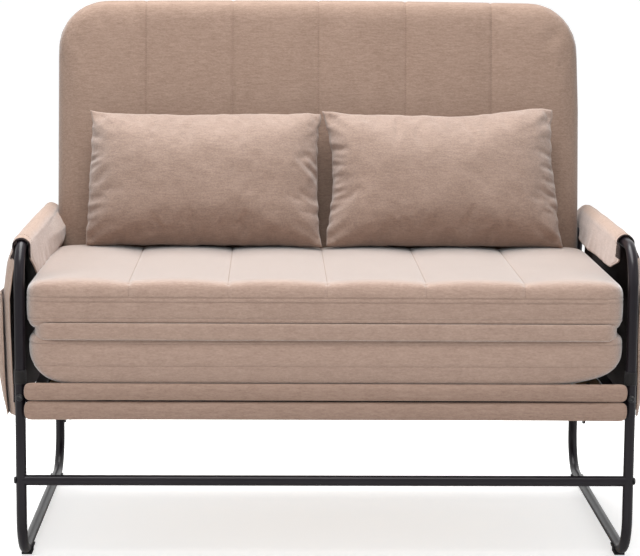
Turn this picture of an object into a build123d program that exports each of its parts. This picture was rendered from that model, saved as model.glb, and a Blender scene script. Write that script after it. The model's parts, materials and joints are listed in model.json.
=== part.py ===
from build123d import *

import os
from math import cos, radians, sin, tan

# A convertible two seat sofa bed on a frame of round black tube.
# X runs along the width, Y from front to back and Z up. The origin lies on the floor,
# below the middle of the whole piece. Every length is in millimetres.

# Round tube frame
post_spacing_x = 1100.0
post_spacing_y = 750.0
tube_diameter = 19.0
arm_axis_height = 583.0
crossbar_height = 158.0
top_bend_radius = 65.0
rear_top_bend_radius = 150.0
bottom_bend_radius = 75.0
foot_height = 6.0
foot_length = 34.0
foot_wall = 3.2

# Fasteners
bolt_head_radius = 6.5
bolt_head_height = 3.6
bolt_shank_radius = 3.0
bolt_hole_radius = 3.15
bolt_grip = 30.0
bolt_head_rounding = 2.6

# Clearances
slide_clearance = 0.15
soft_clearance = 0.35
pin_clearance = 0.05
seat_clearance = 0.2
overrun = 60.0

# Padded front and deck
front_overhang = 24.5
deck_top = 332.15
base_bottom = 275.0
apron_thickness = 14.1
apron_half_width = 542.0
apron_end_rounding = 12.0
apron_edge_rounding = 6.8
apron_join_gap = 0.4
apron_top = 340.0

# Seat cushions
cushion_thickness = 101.0
cushion_half_width = 533.0
cushion_pinch_half_width = 521.0
cushion_shoulder_half_width = 516.0
cushion_shoulder_drop = 7.0
cushion_lower_corner = 30.0
cushion_plan_corner = 28.0
cushion_plan_draw = 5.0
cushion_front_rounding = 30.0
cushion_rear_rounding = 14.0
cushion_face_draw = 4.0
cushion_front_setback = 2.5
channel_pitch = 177.0
channel_crown = 1.5
channel_count = 6
gusset_height = 37.0
gusset_thickness = 2.2
seat_to_back_gap = 2.5

# Backrest
lean = 8.0
back_thickness = 98.0
back_half_width = 525.0
back_top = 1011.5
back_below_pivot = 35.0
back_corner_radius = 100.0
back_top_rounding = 34.0
back_channel_pitch = 175.0
back_channel_depth = 5.0
back_side_draw = 5.0
pivot_above_deck = 52.35
pivot_behind_front_posts = 548.5

# Pillows
pillow_width = 462.0
pillow_height = 256.0
pillow_thickness = 126.0
pillow_edge = 9.0
pillow_lean = 14.0
pillow_seat_gap = 0.35
pillow_back_gap = 3.0
pillow_inner_end = 2.5

# Slats and rails
slat_thickness = 8.0
slat_width = 45.0
slat_pitch = 106.0
fixed_slat_count = 10
tray_slat_count = 9
rail_width = 21.0
rail_height = 24.85
cross_rail_width = 20.0
rail_outer_half_width = 530.0
bracket_thickness = 4.0
bracket_height = 33.0

# Pull out tray
tray_front_half_width = 503.0
tray_front_depth = 22.4
tray_runner_width = 20.0
tray_runner_height = 24.0
tray_runner_outer = 500.0
tray_rear_depth = 25.0
tray_length = 635.0
tray_slat_clearance = 0.65
track_thickness = 3.3
track_shelf = 21.0
track_gap = 3.0
glide_height = 2.0
glide_length = 40.0
glide_width = 12.0

# Folding front leg
leg_tube_diameter = 16.0
leg_pivot_height = 262.0
leg_pivot_behind_front_posts = 85.0
leg_bend_radius = 50.0
leg_side_gap = 0.4
leg_end_overrun = 12.0
leg_bracket_thickness = 4.0
leg_bracket_length = 30.0
leg_pin_radius = 4.0
leg_foot_wall = 4.0
leg_foot_length = 40.0
leg_foot_half_spacing = 360.0

# Arm covers
sleeve_wall = 2.9
sleeve_front = 42.0
flap_thickness = 2.4
flap_bottom_height = 514.0
flap_rear_bottom_height = 520.0
flap_tip_behind = 150.0
flap_rear_behind = 570.0
flap_rear_top_behind = 606.0
panel_thickness = 2.4
panel_bulge_x = 576.0
panel_bottom_x = 572.0
panel_bottom_height = 271.0
panel_bulge_height = 430.0
panel_front = 10.0
panel_rear_margin = 12.0
pocket_bulge_x = 597.0
pocket_mouth_x = 586.0
pocket_mouth_height = 497.0
pocket_bulge_height = 390.0
pocket_front = 24.0
pocket_rear = 430.0
pocket_wall = 2.2
pocket_end_wall = 3.0
pocket_floor = 16.0
strap_width = 26.0
strap_wall = 2.0
strap_gap = 3.0

# Recline hinge
arm_plate_thickness = 4.0
arm_plate_width = 28.0
arm_plate_above = 172.0
arm_plate_below = 20.0
arm_plate_gap = 0.5
ratchet_radius = 40.0
ratchet_notch_radius = 3.5
ratchet_notch_count = 9
ratchet_notch_step = 16.0
ratchet_foot_half_width = 36.0
recline_pin_radius = 5.0
recline_pin_head_radius = 9.0
recline_pin_head = 3.5

# Places worked out from the sizes above
tube_radius = tube_diameter / 2
rear_overhang = tube_radius + bolt_head_height
overall_depth = front_overhang + post_spacing_y + rear_overhang
front_face_y = -overall_depth / 2
front_post_y = front_face_y + front_overhang
rear_post_y = front_post_y + post_spacing_y
post_x = post_spacing_x / 2
runner_axis_height = foot_height + tube_radius

cushion_bottom = deck_top + soft_clearance
fold_height = cushion_bottom + cushion_thickness
seat_top = fold_height + cushion_thickness
cushion_front_y = front_face_y + cushion_front_setback

pivot_y = front_post_y + pivot_behind_front_posts
pivot_height = deck_top + pivot_above_deck
pivot_depth = back_thickness / 2
lean_angle = radians(lean)
back_above_pivot = (back_top - pivot_height - pivot_depth * sin(lean_angle)) / cos(lean_angle)
pivot_point = (0, pivot_y, pivot_height)

# The backrest's own planes: across its height, seen from the front, and seen from the side.
back_section_plane = Plane(origin=pivot_point, x_dir=(1, 0, 0), z_dir=(0, sin(lean_angle), cos(lean_angle)))
back_front_plane = Plane(origin=pivot_point, x_dir=(1, 0, 0), z_dir=(0, -cos(lean_angle), sin(lean_angle)))
back_side_plane = Plane(origin=pivot_point, x_dir=(0, cos(lean_angle), -sin(lean_angle)), z_dir=(1, 0, 0))

fixed_slat_bottom = deck_top - slat_thickness
tray_deck_bottom = fixed_slat_bottom - slide_clearance
rail_top = tray_deck_bottom - slide_clearance
rail_bottom = rail_top - rail_height
tray_front_y = front_face_y + apron_thickness
tray_front_back_y = tray_front_y + tray_front_depth
tray_rear_back_y = tray_front_back_y + tray_length - cross_rail_width
tray_rear_y = tray_rear_back_y - tray_rear_depth
runner_top = rail_bottom - track_gap
runner_bottom = runner_top - tray_runner_height
slat_row = [(i - (fixed_slat_count - 1) / 2) * slat_pitch for i in range(fixed_slat_count)]
tray_slat_row = [(i - (tray_slat_count - 1) / 2) * slat_pitch for i in range(tray_slat_count)]


def back_face_y(height):
    """The backrest's front face at a height, on its leaning line."""
    face_foot_y = pivot_y - pivot_depth * cos(lean_angle)
    face_foot_height = pivot_height + pivot_depth * sin(lean_angle)
    return face_foot_y + (height - face_foot_height) * tan(lean_angle)


cushion_rear_y = back_face_y(fold_height) - seat_to_back_gap
lower_cushion_rear_y = pivot_y - pivot_depth - seat_to_back_gap


def save(node, name):
    """Give a finished piece its name and write it."""
    node.part.label = name
    export_step(node.part, "parts/" + name + ".step")


def block(x_range, y_range, z_range):
    """A straight bar or plate between three pairs of named places."""
    with BuildPart() as bar:
        with BuildSketch(Plane.XY.offset(z_range[0])):
            with Locations((sum(x_range) / 2, sum(y_range) / 2)):
                Rectangle(abs(x_range[1] - x_range[0]), y_range[1] - y_range[0])
        extrude(amount=z_range[1] - z_range[0])
    return bar.part


def rod(start, direction, radius, length):
    """A round rod from a start point along a direction."""
    with BuildPart() as bar:
        with BuildSketch(Plane(origin=start, z_dir=direction)):
            Circle(radius)
        extrude(amount=length)
    return bar.part


def domed_bolt(seat, direction, shank_length):
    """A bolt with its domed head on the seat point, and its shank going the other way."""
    with BuildPart() as bolt:
        with BuildSketch(Plane(origin=seat, z_dir=direction)):
            Circle(bolt_head_radius)
        extrude(amount=bolt_head_height)
        fillet(bolt.faces().sort_by(Axis(seat, direction))[-1].edges(), bolt_head_rounding)
        with BuildSketch(Plane(origin=seat, z_dir=direction)):
            Circle(bolt_shank_radius)
        extrude(amount=-shank_length)
    return bolt.part


os.makedirs("parts", exist_ok=True)
sides = (("left", -1), ("right", 1))

# Side frames: one closed loop of tube at each end, which is arm, two legs and floor runner
bracket_bolt_height = rail_bottom + rail_height / 2
rear_crossbar_height = rail_bottom - tube_radius - bracket_thickness

for side, sign in sides:
    loop_plane = Plane.YZ.offset(sign * post_x)
    with BuildPart() as side_frame:
        with BuildLine(loop_plane) as loop:
            FilletPolyline(
                (front_post_y, runner_axis_height),
                (front_post_y, arm_axis_height),
                (rear_post_y, arm_axis_height),
                (rear_post_y, runner_axis_height),
                radius=[bottom_bend_radius, top_bend_radius, rear_top_bend_radius, bottom_bend_radius],
                close=True,
            )
        with BuildSketch(Plane(origin=loop.wires()[0] @ 0, z_dir=loop.wires()[0] % 0)):
            Circle(tube_radius)
        sweep(path=loop.wires()[0])
        for y, height in ((front_post_y, crossbar_height), (rear_post_y, rear_crossbar_height)):
            start = ((post_x - tube_diameter) * sign, y, height)
            add(rod(start, (sign, 0, 0), bolt_hole_radius, 2 * tube_diameter), mode=Mode.SUBTRACT)
        for y in (front_post_y, rear_post_y):
            start = (post_x * sign, y - tube_diameter, bracket_bolt_height)
            add(rod(start, (0, 1, 0), bolt_hole_radius, 2 * tube_diameter), mode=Mode.SUBTRACT)
    save(side_frame, "side_frame_" + side)

# Crossbars: tubes from side to side, their ends cut to the curve of the posts
for name, y, height in (
    ("front_crossbar", front_post_y, crossbar_height),
    ("rear_crossbar", rear_post_y, rear_crossbar_height),
):
    with BuildPart() as crossbar:
        add(rod((-post_x, y, height), (1, 0, 0), tube_radius, post_spacing_x))
        for side, sign in sides:
            start = (sign * post_x, y, height - tube_diameter)
            add(rod(start, (0, 0, 1), tube_radius + seat_clearance, 2 * tube_diameter), mode=Mode.SUBTRACT)
            start = (sign * (post_x - tube_radius - bolt_grip), y, height)
            add(rod(start, (sign, 0, 0), bolt_hole_radius, bolt_grip + tube_radius), mode=Mode.SUBTRACT)
    save(crossbar, name)

with BuildPart() as crossbar_bolts:
    for y, height in ((front_post_y, crossbar_height), (rear_post_y, rear_crossbar_height)):
        for side, sign in sides:
            seat = (sign * (post_x + tube_radius), y, height)
            add(domed_bolt(seat, (sign, 0, 0), tube_diameter + bolt_grip - bolt_head_height))
save(crossbar_bolts, "crossbar_bolts")

# Feet: rubber shoes that clip under the floor runners, just inside the bends
with BuildPart() as rubber_feet:
    for side, sign in sides:
        for y in (front_post_y + bottom_bend_radius, rear_post_y - bottom_bend_radius - foot_length):
            with BuildSketch(Plane.XZ.offset(-y)):
                with Locations((sign * post_x, runner_axis_height)):
                    Circle(tube_radius + foot_wall)
                with Locations((sign * post_x, runner_axis_height / 2)):
                    Rectangle(tube_diameter, runner_axis_height)
                with Locations((sign * post_x, runner_axis_height)):
                    Circle(tube_radius + pin_clearance, mode=Mode.SUBTRACT)
                with Locations((sign * post_x, runner_axis_height + tube_diameter)):
                    Rectangle(2 * tube_diameter, 2 * tube_diameter, mode=Mode.SUBTRACT)
            extrude(amount=-foot_length)
save(rubber_feet, "rubber_feet")

# Seat frame: brackets bolted to the posts, with two side rails and two cross rails between them
bracket_inner_x = rail_outer_half_width - rail_width
bracket_outer_x = post_x + tube_radius + bracket_thickness
rail_front_y = front_post_y + tube_radius + bracket_thickness
rail_rear_y = rear_post_y - tube_radius - bracket_thickness
bracket_bottom = rail_bottom
bracket_top = rail_bottom + bracket_height

with BuildPart() as corner_brackets:
    for side, sign in sides:
        x_range = sorted((sign * bracket_inner_x, sign * bracket_outer_x))
        for near_y in (rail_front_y - bracket_thickness, rail_rear_y):
            add(block(x_range, (near_y, near_y + bracket_thickness), (bracket_bottom, bracket_top)))
            start = (sign * post_x, near_y - bracket_thickness, bracket_bolt_height)
            add(rod(start, (0, 1, 0), bolt_hole_radius, tube_diameter), mode=Mode.SUBTRACT)
save(corner_brackets, "corner_brackets")

with BuildPart() as bracket_bolts:
    for side, sign in sides:
        x = sign * post_x
        shank = tube_diameter + 2 * bracket_thickness
        add(domed_bolt((x, front_post_y - tube_radius, bracket_bolt_height), (0, -1, 0), shank))
        add(domed_bolt((x, rear_post_y + tube_radius, bracket_bolt_height), (0, 1, 0), shank))
save(bracket_bolts, "bracket_bolts")

for side, sign in sides:
    x_range = sorted((sign * bracket_inner_x, sign * rail_outer_half_width))
    with BuildPart() as side_rail:
        add(block(x_range, (rail_front_y, rail_rear_y), (rail_bottom, rail_top)))
    save(side_rail, "side_rail_" + side)

front_rail_y = rail_front_y + bracket_thickness
front_rail_back_y = front_rail_y + cross_rail_width
rear_rail_y = tray_rear_back_y + cross_rail_width / 2
rear_rail_back_y = rear_rail_y + cross_rail_width
for name, y_range in (
    ("front_rail", (front_rail_y, front_rail_back_y)),
    ("rear_rail", (rear_rail_y, rear_rail_back_y)),
):
    with BuildPart() as cross_rail:
        add(block((-bracket_inner_x, bracket_inner_x), y_range, (rail_bottom, rail_top)))
    save(cross_rail, name)

# Slats: boards laid from front to back, with room between them for the tray's own slats
with BuildPart() as fixed_slats:
    for x in slat_row:
        x_range = (x - slat_width / 2, x + slat_width / 2)
        add(block(x_range, (front_rail_y, rear_rail_back_y), (fixed_slat_bottom, deck_top)))
save(fixed_slats, "fixed_slats")

# Tracks: angle iron under the side rails, which the tray's runners slide on
track_top = runner_bottom - glide_height - slide_clearance
track_web_x = bracket_inner_x - seat_clearance
track_front_y = front_rail_back_y + bracket_thickness
for side, sign in sides:
    web = sorted((sign * (track_web_x - track_thickness), sign * track_web_x))
    shelf = sorted((sign * (track_web_x - track_shelf), sign * track_web_x))
    with BuildPart() as tray_track:
        track_bottom = track_top - track_thickness
        add(block(web, (track_front_y, tray_rear_back_y), (track_bottom, rail_top - bracket_thickness)))
        add(block(shelf, (track_front_y, tray_rear_back_y), (track_bottom, track_top)))
    save(tray_track, "tray_track_" + side)


def scallops(seams, seam_level, crest_level):
    """Padded channels: one shallow arc from each seam to the next."""
    for left, right in zip(seams, seams[1:]):
        ThreePointArc((left, seam_level), ((left + right) / 2, crest_level), (right, seam_level))


# Seat cushions: two equal channelled slabs, the upper one folded back over the lower one
channel_seams = [(i - channel_count / 2) * channel_pitch for i in range(channel_count + 1)]
channel_seams[0] = -cushion_shoulder_half_width
channel_seams[-1] = cushion_shoulder_half_width


def cushion_plan(rear_y):
    """The cushion's outline from above as a tall block, its sides drawn in towards both ends."""
    near, far = cushion_front_y - channel_crown, rear_y + channel_crown
    half, drawn = cushion_half_width + cushion_plan_draw / 2, cushion_half_width - cushion_plan_draw
    middle_y = (near + far) / 2
    with BuildPart() as tall_block:
        with BuildSketch() as plan:
            with BuildLine():
                Line((-drawn, near), (drawn, near))
                ThreePointArc((drawn, near), (half, middle_y), (drawn, far))
                Line((drawn, far), (-drawn, far))
                ThreePointArc((-drawn, far), (-half, middle_y), (-drawn, near))
            make_face()
            fillet(plan.vertices(), cushion_plan_corner)
        extrude(amount=seat_top + overrun)
    return tall_block.part


def cushion_profile(rear_y, low, high, front_low_rounding, front_high_rounding):
    """The cushion's outline from the side as a long block, with its edges rounded."""
    with BuildPart() as long_block:
        with BuildSketch(Plane.YZ.offset(-cushion_half_width - overrun)) as profile:
            with Locations(((cushion_front_y + rear_y) / 2, (low + high) / 2)):
                Rectangle(rear_y - cushion_front_y, high - low)
            fillet(profile.vertices().group_by(Axis.X)[0].sort_by(Axis.Y)[0], front_low_rounding)
            fillet(profile.vertices().group_by(Axis.X)[0].sort_by(Axis.Y)[-1], front_high_rounding)
            fillet(profile.vertices().group_by(Axis.X)[-1], cushion_rear_rounding)
        extrude(amount=2 * (cushion_half_width + overrun))
    return long_block.part


upper_low = fold_height + seat_clearance
with BuildPart() as upper_cushion:
    with BuildSketch(Plane.XZ.offset(-cushion_front_y + channel_crown)):
        with BuildLine():
            shoulder = seat_top - cushion_shoulder_drop
            middle = (upper_low + shoulder) / 2
            section_low = upper_low - channel_crown
            Line((-cushion_pinch_half_width, section_low), (cushion_pinch_half_width, section_low))
            ThreePointArc(
                (cushion_pinch_half_width, section_low),
                (cushion_half_width, middle),
                (cushion_shoulder_half_width, shoulder),
            )
            scallops(channel_seams, shoulder, seat_top + channel_crown)
            ThreePointArc(
                (-cushion_shoulder_half_width, shoulder),
                (-cushion_half_width, middle),
                (-cushion_pinch_half_width, section_low),
            )
        make_face()
    extrude(amount=-(cushion_rear_y - cushion_front_y + 2 * channel_crown))
    profile = cushion_profile(cushion_rear_y, upper_low, seat_top, cushion_face_draw, cushion_front_rounding)
    add(profile, mode=Mode.INTERSECT)
    add(cushion_plan(cushion_rear_y), mode=Mode.INTERSECT)
save(upper_cushion, "upper_cushion")

lower_high = fold_height - seat_clearance
with BuildPart() as lower_cushion:
    with BuildSketch(Plane.XZ.offset(-cushion_front_y + channel_crown)) as section:
        with BuildLine():
            base = cushion_bottom - channel_crown
            middle = base + cushion_lower_corner + (lower_high - base - cushion_lower_corner) / 2
            corner_x = cushion_half_width - cushion_plan_draw
            Line((-corner_x, base), (corner_x, base))
            ThreePointArc(
                (corner_x, base),
                (cushion_half_width + cushion_plan_draw, middle),
                (cushion_pinch_half_width, lower_high),
            )
            Polyline(
                (cushion_pinch_half_width, lower_high),
                (cushion_pinch_half_width, lower_high + channel_crown),
                (-cushion_pinch_half_width, lower_high + channel_crown),
                (-cushion_pinch_half_width, lower_high),
            )
            ThreePointArc(
                (-cushion_pinch_half_width, lower_high),
                (-cushion_half_width - cushion_plan_draw, middle),
                (-corner_x, base),
            )
        make_face()
        fillet(section.vertices().group_by(Axis.Y)[0], cushion_lower_corner)
    extrude(amount=-(lower_cushion_rear_y - cushion_front_y + 2 * channel_crown))
    profile = cushion_profile(
        lower_cushion_rear_y, cushion_bottom, lower_high, cushion_front_rounding, cushion_face_draw
    )
    add(profile, mode=Mode.INTERSECT)
    add(cushion_plan(lower_cushion_rear_y), mode=Mode.INTERSECT)
save(lower_cushion, "lower_cushion")

# Fold band: a strip of cover cloth across the front, half on each cushion, hinged at its middle
gusset_half_width = cushion_pinch_half_width - cushion_plan_corner
for name, low, high in (
    ("fold_band_lower", fold_height - gusset_height / 2, fold_height - seat_clearance),
    ("fold_band_upper", fold_height + seat_clearance, fold_height + gusset_height / 2),
):
    with BuildPart() as fold_band:
        y_range = (front_face_y, front_face_y + gusset_thickness)
        add(block((-gusset_half_width, gusset_half_width), y_range, (low, high)))
    save(fold_band, name)

# Pull out tray: front rail, two runners and a rear rail, with its own slats on top
with BuildPart() as tray_front_rail:
    x_range = (-tray_front_half_width, tray_front_half_width)
    front_rail_bottom = base_bottom + slide_clearance
    add(block(x_range, (tray_front_y, tray_front_back_y), (front_rail_bottom, tray_deck_bottom)))
save(tray_front_rail, "tray_front_rail")

runner_inner_x = tray_runner_outer - tray_runner_width
for side, sign in sides:
    x_range = sorted((sign * runner_inner_x, sign * tray_runner_outer))
    with BuildPart() as tray_runner:
        add(block(x_range, (tray_front_back_y, tray_rear_y), (runner_bottom, runner_top)))
    save(tray_runner, "tray_runner_" + side)

with BuildPart() as tray_rear_rail:
    x_range = (-tray_runner_outer, tray_runner_outer)
    add(block(x_range, (tray_rear_y, tray_rear_back_y), (runner_bottom, tray_deck_bottom)))
save(tray_rear_rail, "tray_rear_rail")

with BuildPart() as tray_slats:
    for x in tray_slat_row:
        x_range = (x - slat_width / 2, x + slat_width / 2)
        y_range = (tray_front_y + bracket_thickness, tray_rear_back_y)
        add(block(x_range, y_range, (tray_deck_bottom, deck_top - tray_slat_clearance)))
save(tray_slats, "tray_slats")

glide_x = tray_runner_outer - tray_runner_width / 3
with BuildPart() as tray_glides:
    for side, sign in sides:
        for y in (track_front_y, (track_front_y + tray_rear_y) / 2, tray_rear_y - glide_length):
            x_range = sorted((sign * (glide_x - glide_width / 2), sign * (glide_x + glide_width / 2)))
            add(block(x_range, (y, y + glide_length), (runner_bottom - glide_height, runner_bottom)))
save(tray_glides, "tray_glides")

# Aprons: two padded rolls across the tray's front
apron_middle = (base_bottom + apron_top) / 2
for name, low, high in (
    ("apron_lower", base_bottom, apron_middle - apron_join_gap / 2),
    ("apron_upper", apron_middle + apron_join_gap / 2, apron_top),
):
    with BuildPart() as apron:
        with BuildSketch(Plane.XZ.offset(-front_face_y)):
            with Locations((0, (low + high) / 2)):
                RectangleRounded(2 * apron_half_width, high - low, apron_end_rounding)
        extrude(amount=-apron_thickness)
        with BuildSketch(Plane.YZ.offset(-apron_half_width - overrun)) as side_view:
            with Locations((front_face_y + apron_thickness / 2, (low + high) / 2)):
                Rectangle(apron_thickness, high - low)
            fillet(side_view.vertices().group_by(Axis.X)[0], apron_edge_rounding)
            fillet(side_view.vertices().group_by(Axis.X)[-1], apron_edge_rounding / 2)
        extrude(amount=2 * (apron_half_width + overrun), mode=Mode.INTERSECT)
    save(apron, name)

# Folding leg: a U of thinner tube, which lies flat under the tray and turns down to the floor
leg_radius = leg_tube_diameter / 2
leg_pivot_y = front_post_y + leg_pivot_behind_front_posts
leg_bracket_inner_x = runner_inner_x - leg_bracket_thickness
leg_x = leg_bracket_inner_x - leg_side_gap - leg_radius
leg_reach = leg_pivot_height - leg_radius - leg_foot_wall
leg_far_y = leg_pivot_y + leg_reach
leg_plane = Plane.XY.offset(leg_pivot_height)

with BuildPart() as leg_brackets:
    for side, sign in sides:
        with BuildSketch(Plane.YZ.offset(sign * leg_bracket_inner_x)):
            with Locations((leg_pivot_y, leg_pivot_height)):
                Circle(leg_bracket_length / 2)
            with Locations((leg_pivot_y, (leg_pivot_height + runner_top) / 2)):
                Rectangle(leg_bracket_length, runner_top - leg_pivot_height)
            with Locations((leg_pivot_y, leg_pivot_height)):
                Circle(leg_pin_radius + pin_clearance, mode=Mode.SUBTRACT)
        extrude(amount=sign * leg_bracket_thickness)
save(leg_brackets, "leg_brackets")

with BuildPart() as folding_leg:
    with BuildLine(leg_plane) as leg_path:
        FilletPolyline(
            (-leg_x, leg_pivot_y - leg_end_overrun),
            (-leg_x, leg_far_y),
            (leg_x, leg_far_y),
            (leg_x, leg_pivot_y - leg_end_overrun),
            radius=leg_bend_radius,
        )
    with BuildSketch(Plane(origin=leg_path.wires()[0] @ 0, z_dir=leg_path.wires()[0] % 0)):
        Circle(leg_radius)
    sweep(path=leg_path.wires()[0])
    for side, sign in sides:
        start = (sign * (leg_x - leg_tube_diameter), leg_pivot_y, leg_pivot_height)
        hole_radius = leg_pin_radius + pin_clearance
        add(rod(start, (sign, 0, 0), hole_radius, 2 * leg_tube_diameter), mode=Mode.SUBTRACT)
save(folding_leg, "folding_leg")

leg_pin_inner_x = leg_x - leg_radius - leg_side_gap
leg_pin_length = runner_inner_x - leg_pin_inner_x
with BuildPart() as leg_pins:
    for side, sign in sides:
        start = (sign * leg_pin_inner_x, leg_pivot_y, leg_pivot_height)
        add(rod(start, (sign, 0, 0), leg_pin_radius, leg_pin_length))
        add(rod(start, (-sign, 0, 0), leg_radius - leg_side_gap, leg_pin_radius / 2))
        start = (sign * runner_inner_x, leg_pivot_y, leg_pivot_height)
        add(rod(start, (sign, 0, 0), leg_pin_radius + leg_side_gap, leg_side_gap))
save(leg_pins, "leg_pins")

with BuildPart() as leg_feet:
    for side, sign in sides:
        start_x = sign * leg_foot_half_spacing - leg_foot_length / 2
        start = (start_x, leg_far_y, leg_pivot_height)
        add(rod(start, (1, 0, 0), leg_radius + leg_foot_wall, leg_foot_length))
        add(rod(start, (1, 0, 0), leg_radius + pin_clearance, leg_foot_length), mode=Mode.SUBTRACT)
save(leg_feet, "leg_feet")

# Backrest: channelled foam round a tube frame, webbing across it and a panel at the back
back_seams = [(i - channel_count / 2) * back_channel_pitch for i in range(channel_count + 1)]
back_tube_radius = 9.0
back_cross_tube_radius = 10.0
back_tube_half_width = 468.0
back_tube_top_margin = 58.0
back_tube_bend = 60.0
panel_margin = 30.0
panel_inset = 6.0
back_panel_thickness = 4.0
recess_ledge = 8.0
recess_half_width = back_half_width - panel_margin
back_tube_top = back_above_pivot - back_tube_top_margin


def back_tube(clearance):
    """The backrest's bent tube and the cross tube on the hinge line, each made fatter by a clearance."""
    with BuildPart() as tube:
        with BuildLine(back_front_plane) as bend:
            FilletPolyline(
                (-back_tube_half_width, 0),
                (-back_tube_half_width, back_tube_top),
                (back_tube_half_width, back_tube_top),
                (back_tube_half_width, 0),
                radius=back_tube_bend,
            )
        with BuildSketch(Plane(origin=bend.wires()[0] @ 0, z_dir=bend.wires()[0] % 0)):
            Circle(back_tube_radius + clearance)
        sweep(path=bend.wires()[0])
        cross_half = back_half_width + arm_plate_gap
        cross_radius = back_cross_tube_radius + clearance
        add(rod((-cross_half, pivot_y, pivot_height), (1, 0, 0), cross_radius, 2 * cross_half))
    return tube.part


with BuildPart() as backrest_tube:
    add(back_tube(0))
save(backrest_tube, "backrest_tube")

with BuildPart() as backrest_pad:
    face = -pivot_depth
    with BuildSketch(back_section_plane.offset(-back_below_pivot)):
        with BuildLine():
            seam = face + back_channel_depth
            drawn = back_half_width - back_side_draw
            back_seams[0], back_seams[-1] = -drawn, drawn
            scallops(back_seams, seam, face - channel_crown)
            ThreePointArc((drawn, seam), (back_half_width, 0), (drawn, pivot_depth))
            Line((drawn, pivot_depth), (-drawn, pivot_depth))
            ThreePointArc((-drawn, pivot_depth), (-back_half_width, 0), (-drawn, seam))
        make_face()
    extrude(amount=back_below_pivot + back_above_pivot)
    with BuildSketch(back_side_plane.offset(-back_half_width - overrun)) as side_view:
        with Locations((0, (back_above_pivot - back_below_pivot) / 2)):
            Rectangle(back_thickness, back_above_pivot + back_below_pivot)
        fillet(side_view.vertices().group_by(Axis.Y)[0], back_below_pivot)
        fillet(side_view.vertices().group_by(Axis.Y)[-1], back_top_rounding)
    extrude(amount=2 * (back_half_width + overrun), mode=Mode.INTERSECT)
    with BuildSketch(back_front_plane.offset(-back_thickness)) as front_view:
        with Locations((0, (back_above_pivot - back_below_pivot) / 2)):
            Rectangle(2 * back_half_width, back_above_pivot + back_below_pivot)
        fillet(front_view.vertices().group_by(Axis.Y)[-1], back_corner_radius)
        fillet(front_view.vertices().group_by(Axis.Y)[0], back_side_draw)
    extrude(amount=2 * back_thickness, mode=Mode.INTERSECT)
    recess_low, recess_high = panel_inset + recess_ledge, back_above_pivot - panel_margin - recess_ledge
    with BuildSketch(back_front_plane.offset(-pivot_depth)):
        with Locations((0, (recess_low + recess_high) / 2)):
            Rectangle(2 * (recess_half_width - recess_ledge), recess_high - recess_low)
    extrude(amount=pivot_depth + back_tube_radius + soft_clearance, mode=Mode.SUBTRACT)
    with BuildSketch(back_front_plane.offset(-pivot_depth)):
        with Locations((0, (recess_low + recess_high) / 2)):
            Rectangle(2 * recess_half_width, recess_high - recess_low + 2 * recess_ledge)
    extrude(amount=back_panel_thickness, mode=Mode.SUBTRACT)
    add(back_tube(seat_clearance), mode=Mode.SUBTRACT)
save(backrest_pad, "backrest_pad")

with BuildPart() as backrest_panel:
    with BuildSketch(back_front_plane.offset(-pivot_depth)):
        with Locations((0, (recess_low + recess_high) / 2)):
            Rectangle(
                2 * (recess_half_width - seat_clearance),
                recess_high - recess_low + 2 * (recess_ledge - seat_clearance),
            )
    extrude(amount=back_panel_thickness)
save(backrest_panel, "backrest_panel")

webbing_width = 50.0
webbing_thickness = 2.2
webbing_count = 5
webbing_pitch = (back_tube_top - back_tube_bend) / webbing_count
webbing_low = recess_low + webbing_width / 2
with BuildPart() as backrest_webbing:
    for i in range(webbing_count):
        with BuildSketch(back_front_plane.offset(-webbing_thickness / 2)):
            with Locations((0, webbing_low + i * webbing_pitch)):
                Rectangle(2 * (back_tube_half_width - back_tube_radius - seat_clearance), webbing_width)
        extrude(amount=webbing_thickness)
save(backrest_webbing, "backrest_webbing")

# Recline hinge: an arm on each side of the backrest, a notched plate on each side rail, and a pin
arm_inner_x = back_half_width + arm_plate_gap
arm_outer_x = arm_inner_x + arm_plate_thickness
for side, sign in sides:
    with BuildPart() as recline_arm:
        with BuildSketch(back_side_plane.offset(sign * arm_inner_x)) as arm_shape:
            with Locations((0, (arm_plate_above - arm_plate_below) / 2)):
                RectangleRounded(arm_plate_width, arm_plate_above + arm_plate_below, arm_plate_width / 3)
            Circle(recline_pin_radius + pin_clearance, mode=Mode.SUBTRACT)
        extrude(amount=sign * arm_plate_thickness)
    save(recline_arm, "recline_arm_" + side)

ratchet_x = arm_outer_x + arm_plate_gap
for side, sign in sides:
    with BuildPart() as ratchet_plate:
        with BuildSketch(Plane.YZ.offset(sign * ratchet_x)):
            with Locations((pivot_y, pivot_height)):
                Circle(ratchet_radius)
            with Locations((pivot_y, (rail_bottom + pivot_height) / 2)):
                Rectangle(2 * ratchet_foot_half_width, pivot_height - rail_bottom)
            with Locations((pivot_y, pivot_height)):
                notch_sweep = ratchet_notch_step * ratchet_notch_count
                with PolarLocations(ratchet_radius, ratchet_notch_count, 0, notch_sweep):
                    Circle(ratchet_notch_radius, mode=Mode.SUBTRACT)
                Circle(recline_pin_radius + pin_clearance, mode=Mode.SUBTRACT)
        extrude(amount=sign * arm_plate_thickness)
    save(ratchet_plate, "ratchet_plate_" + side)

with BuildPart() as recline_pins:
    for side, sign in sides:
        plate_face_x = sign * (ratchet_x + arm_plate_thickness)
        pin_length = ratchet_x + arm_plate_thickness - arm_inner_x - seat_clearance
        start = (plate_face_x, pivot_y, pivot_height)
        add(rod(start, (-sign, 0, 0), recline_pin_radius, pin_length))
        add(rod(start, (sign, 0, 0), recline_pin_head_radius, recline_pin_head))
save(recline_pins, "recline_pins")

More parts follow.
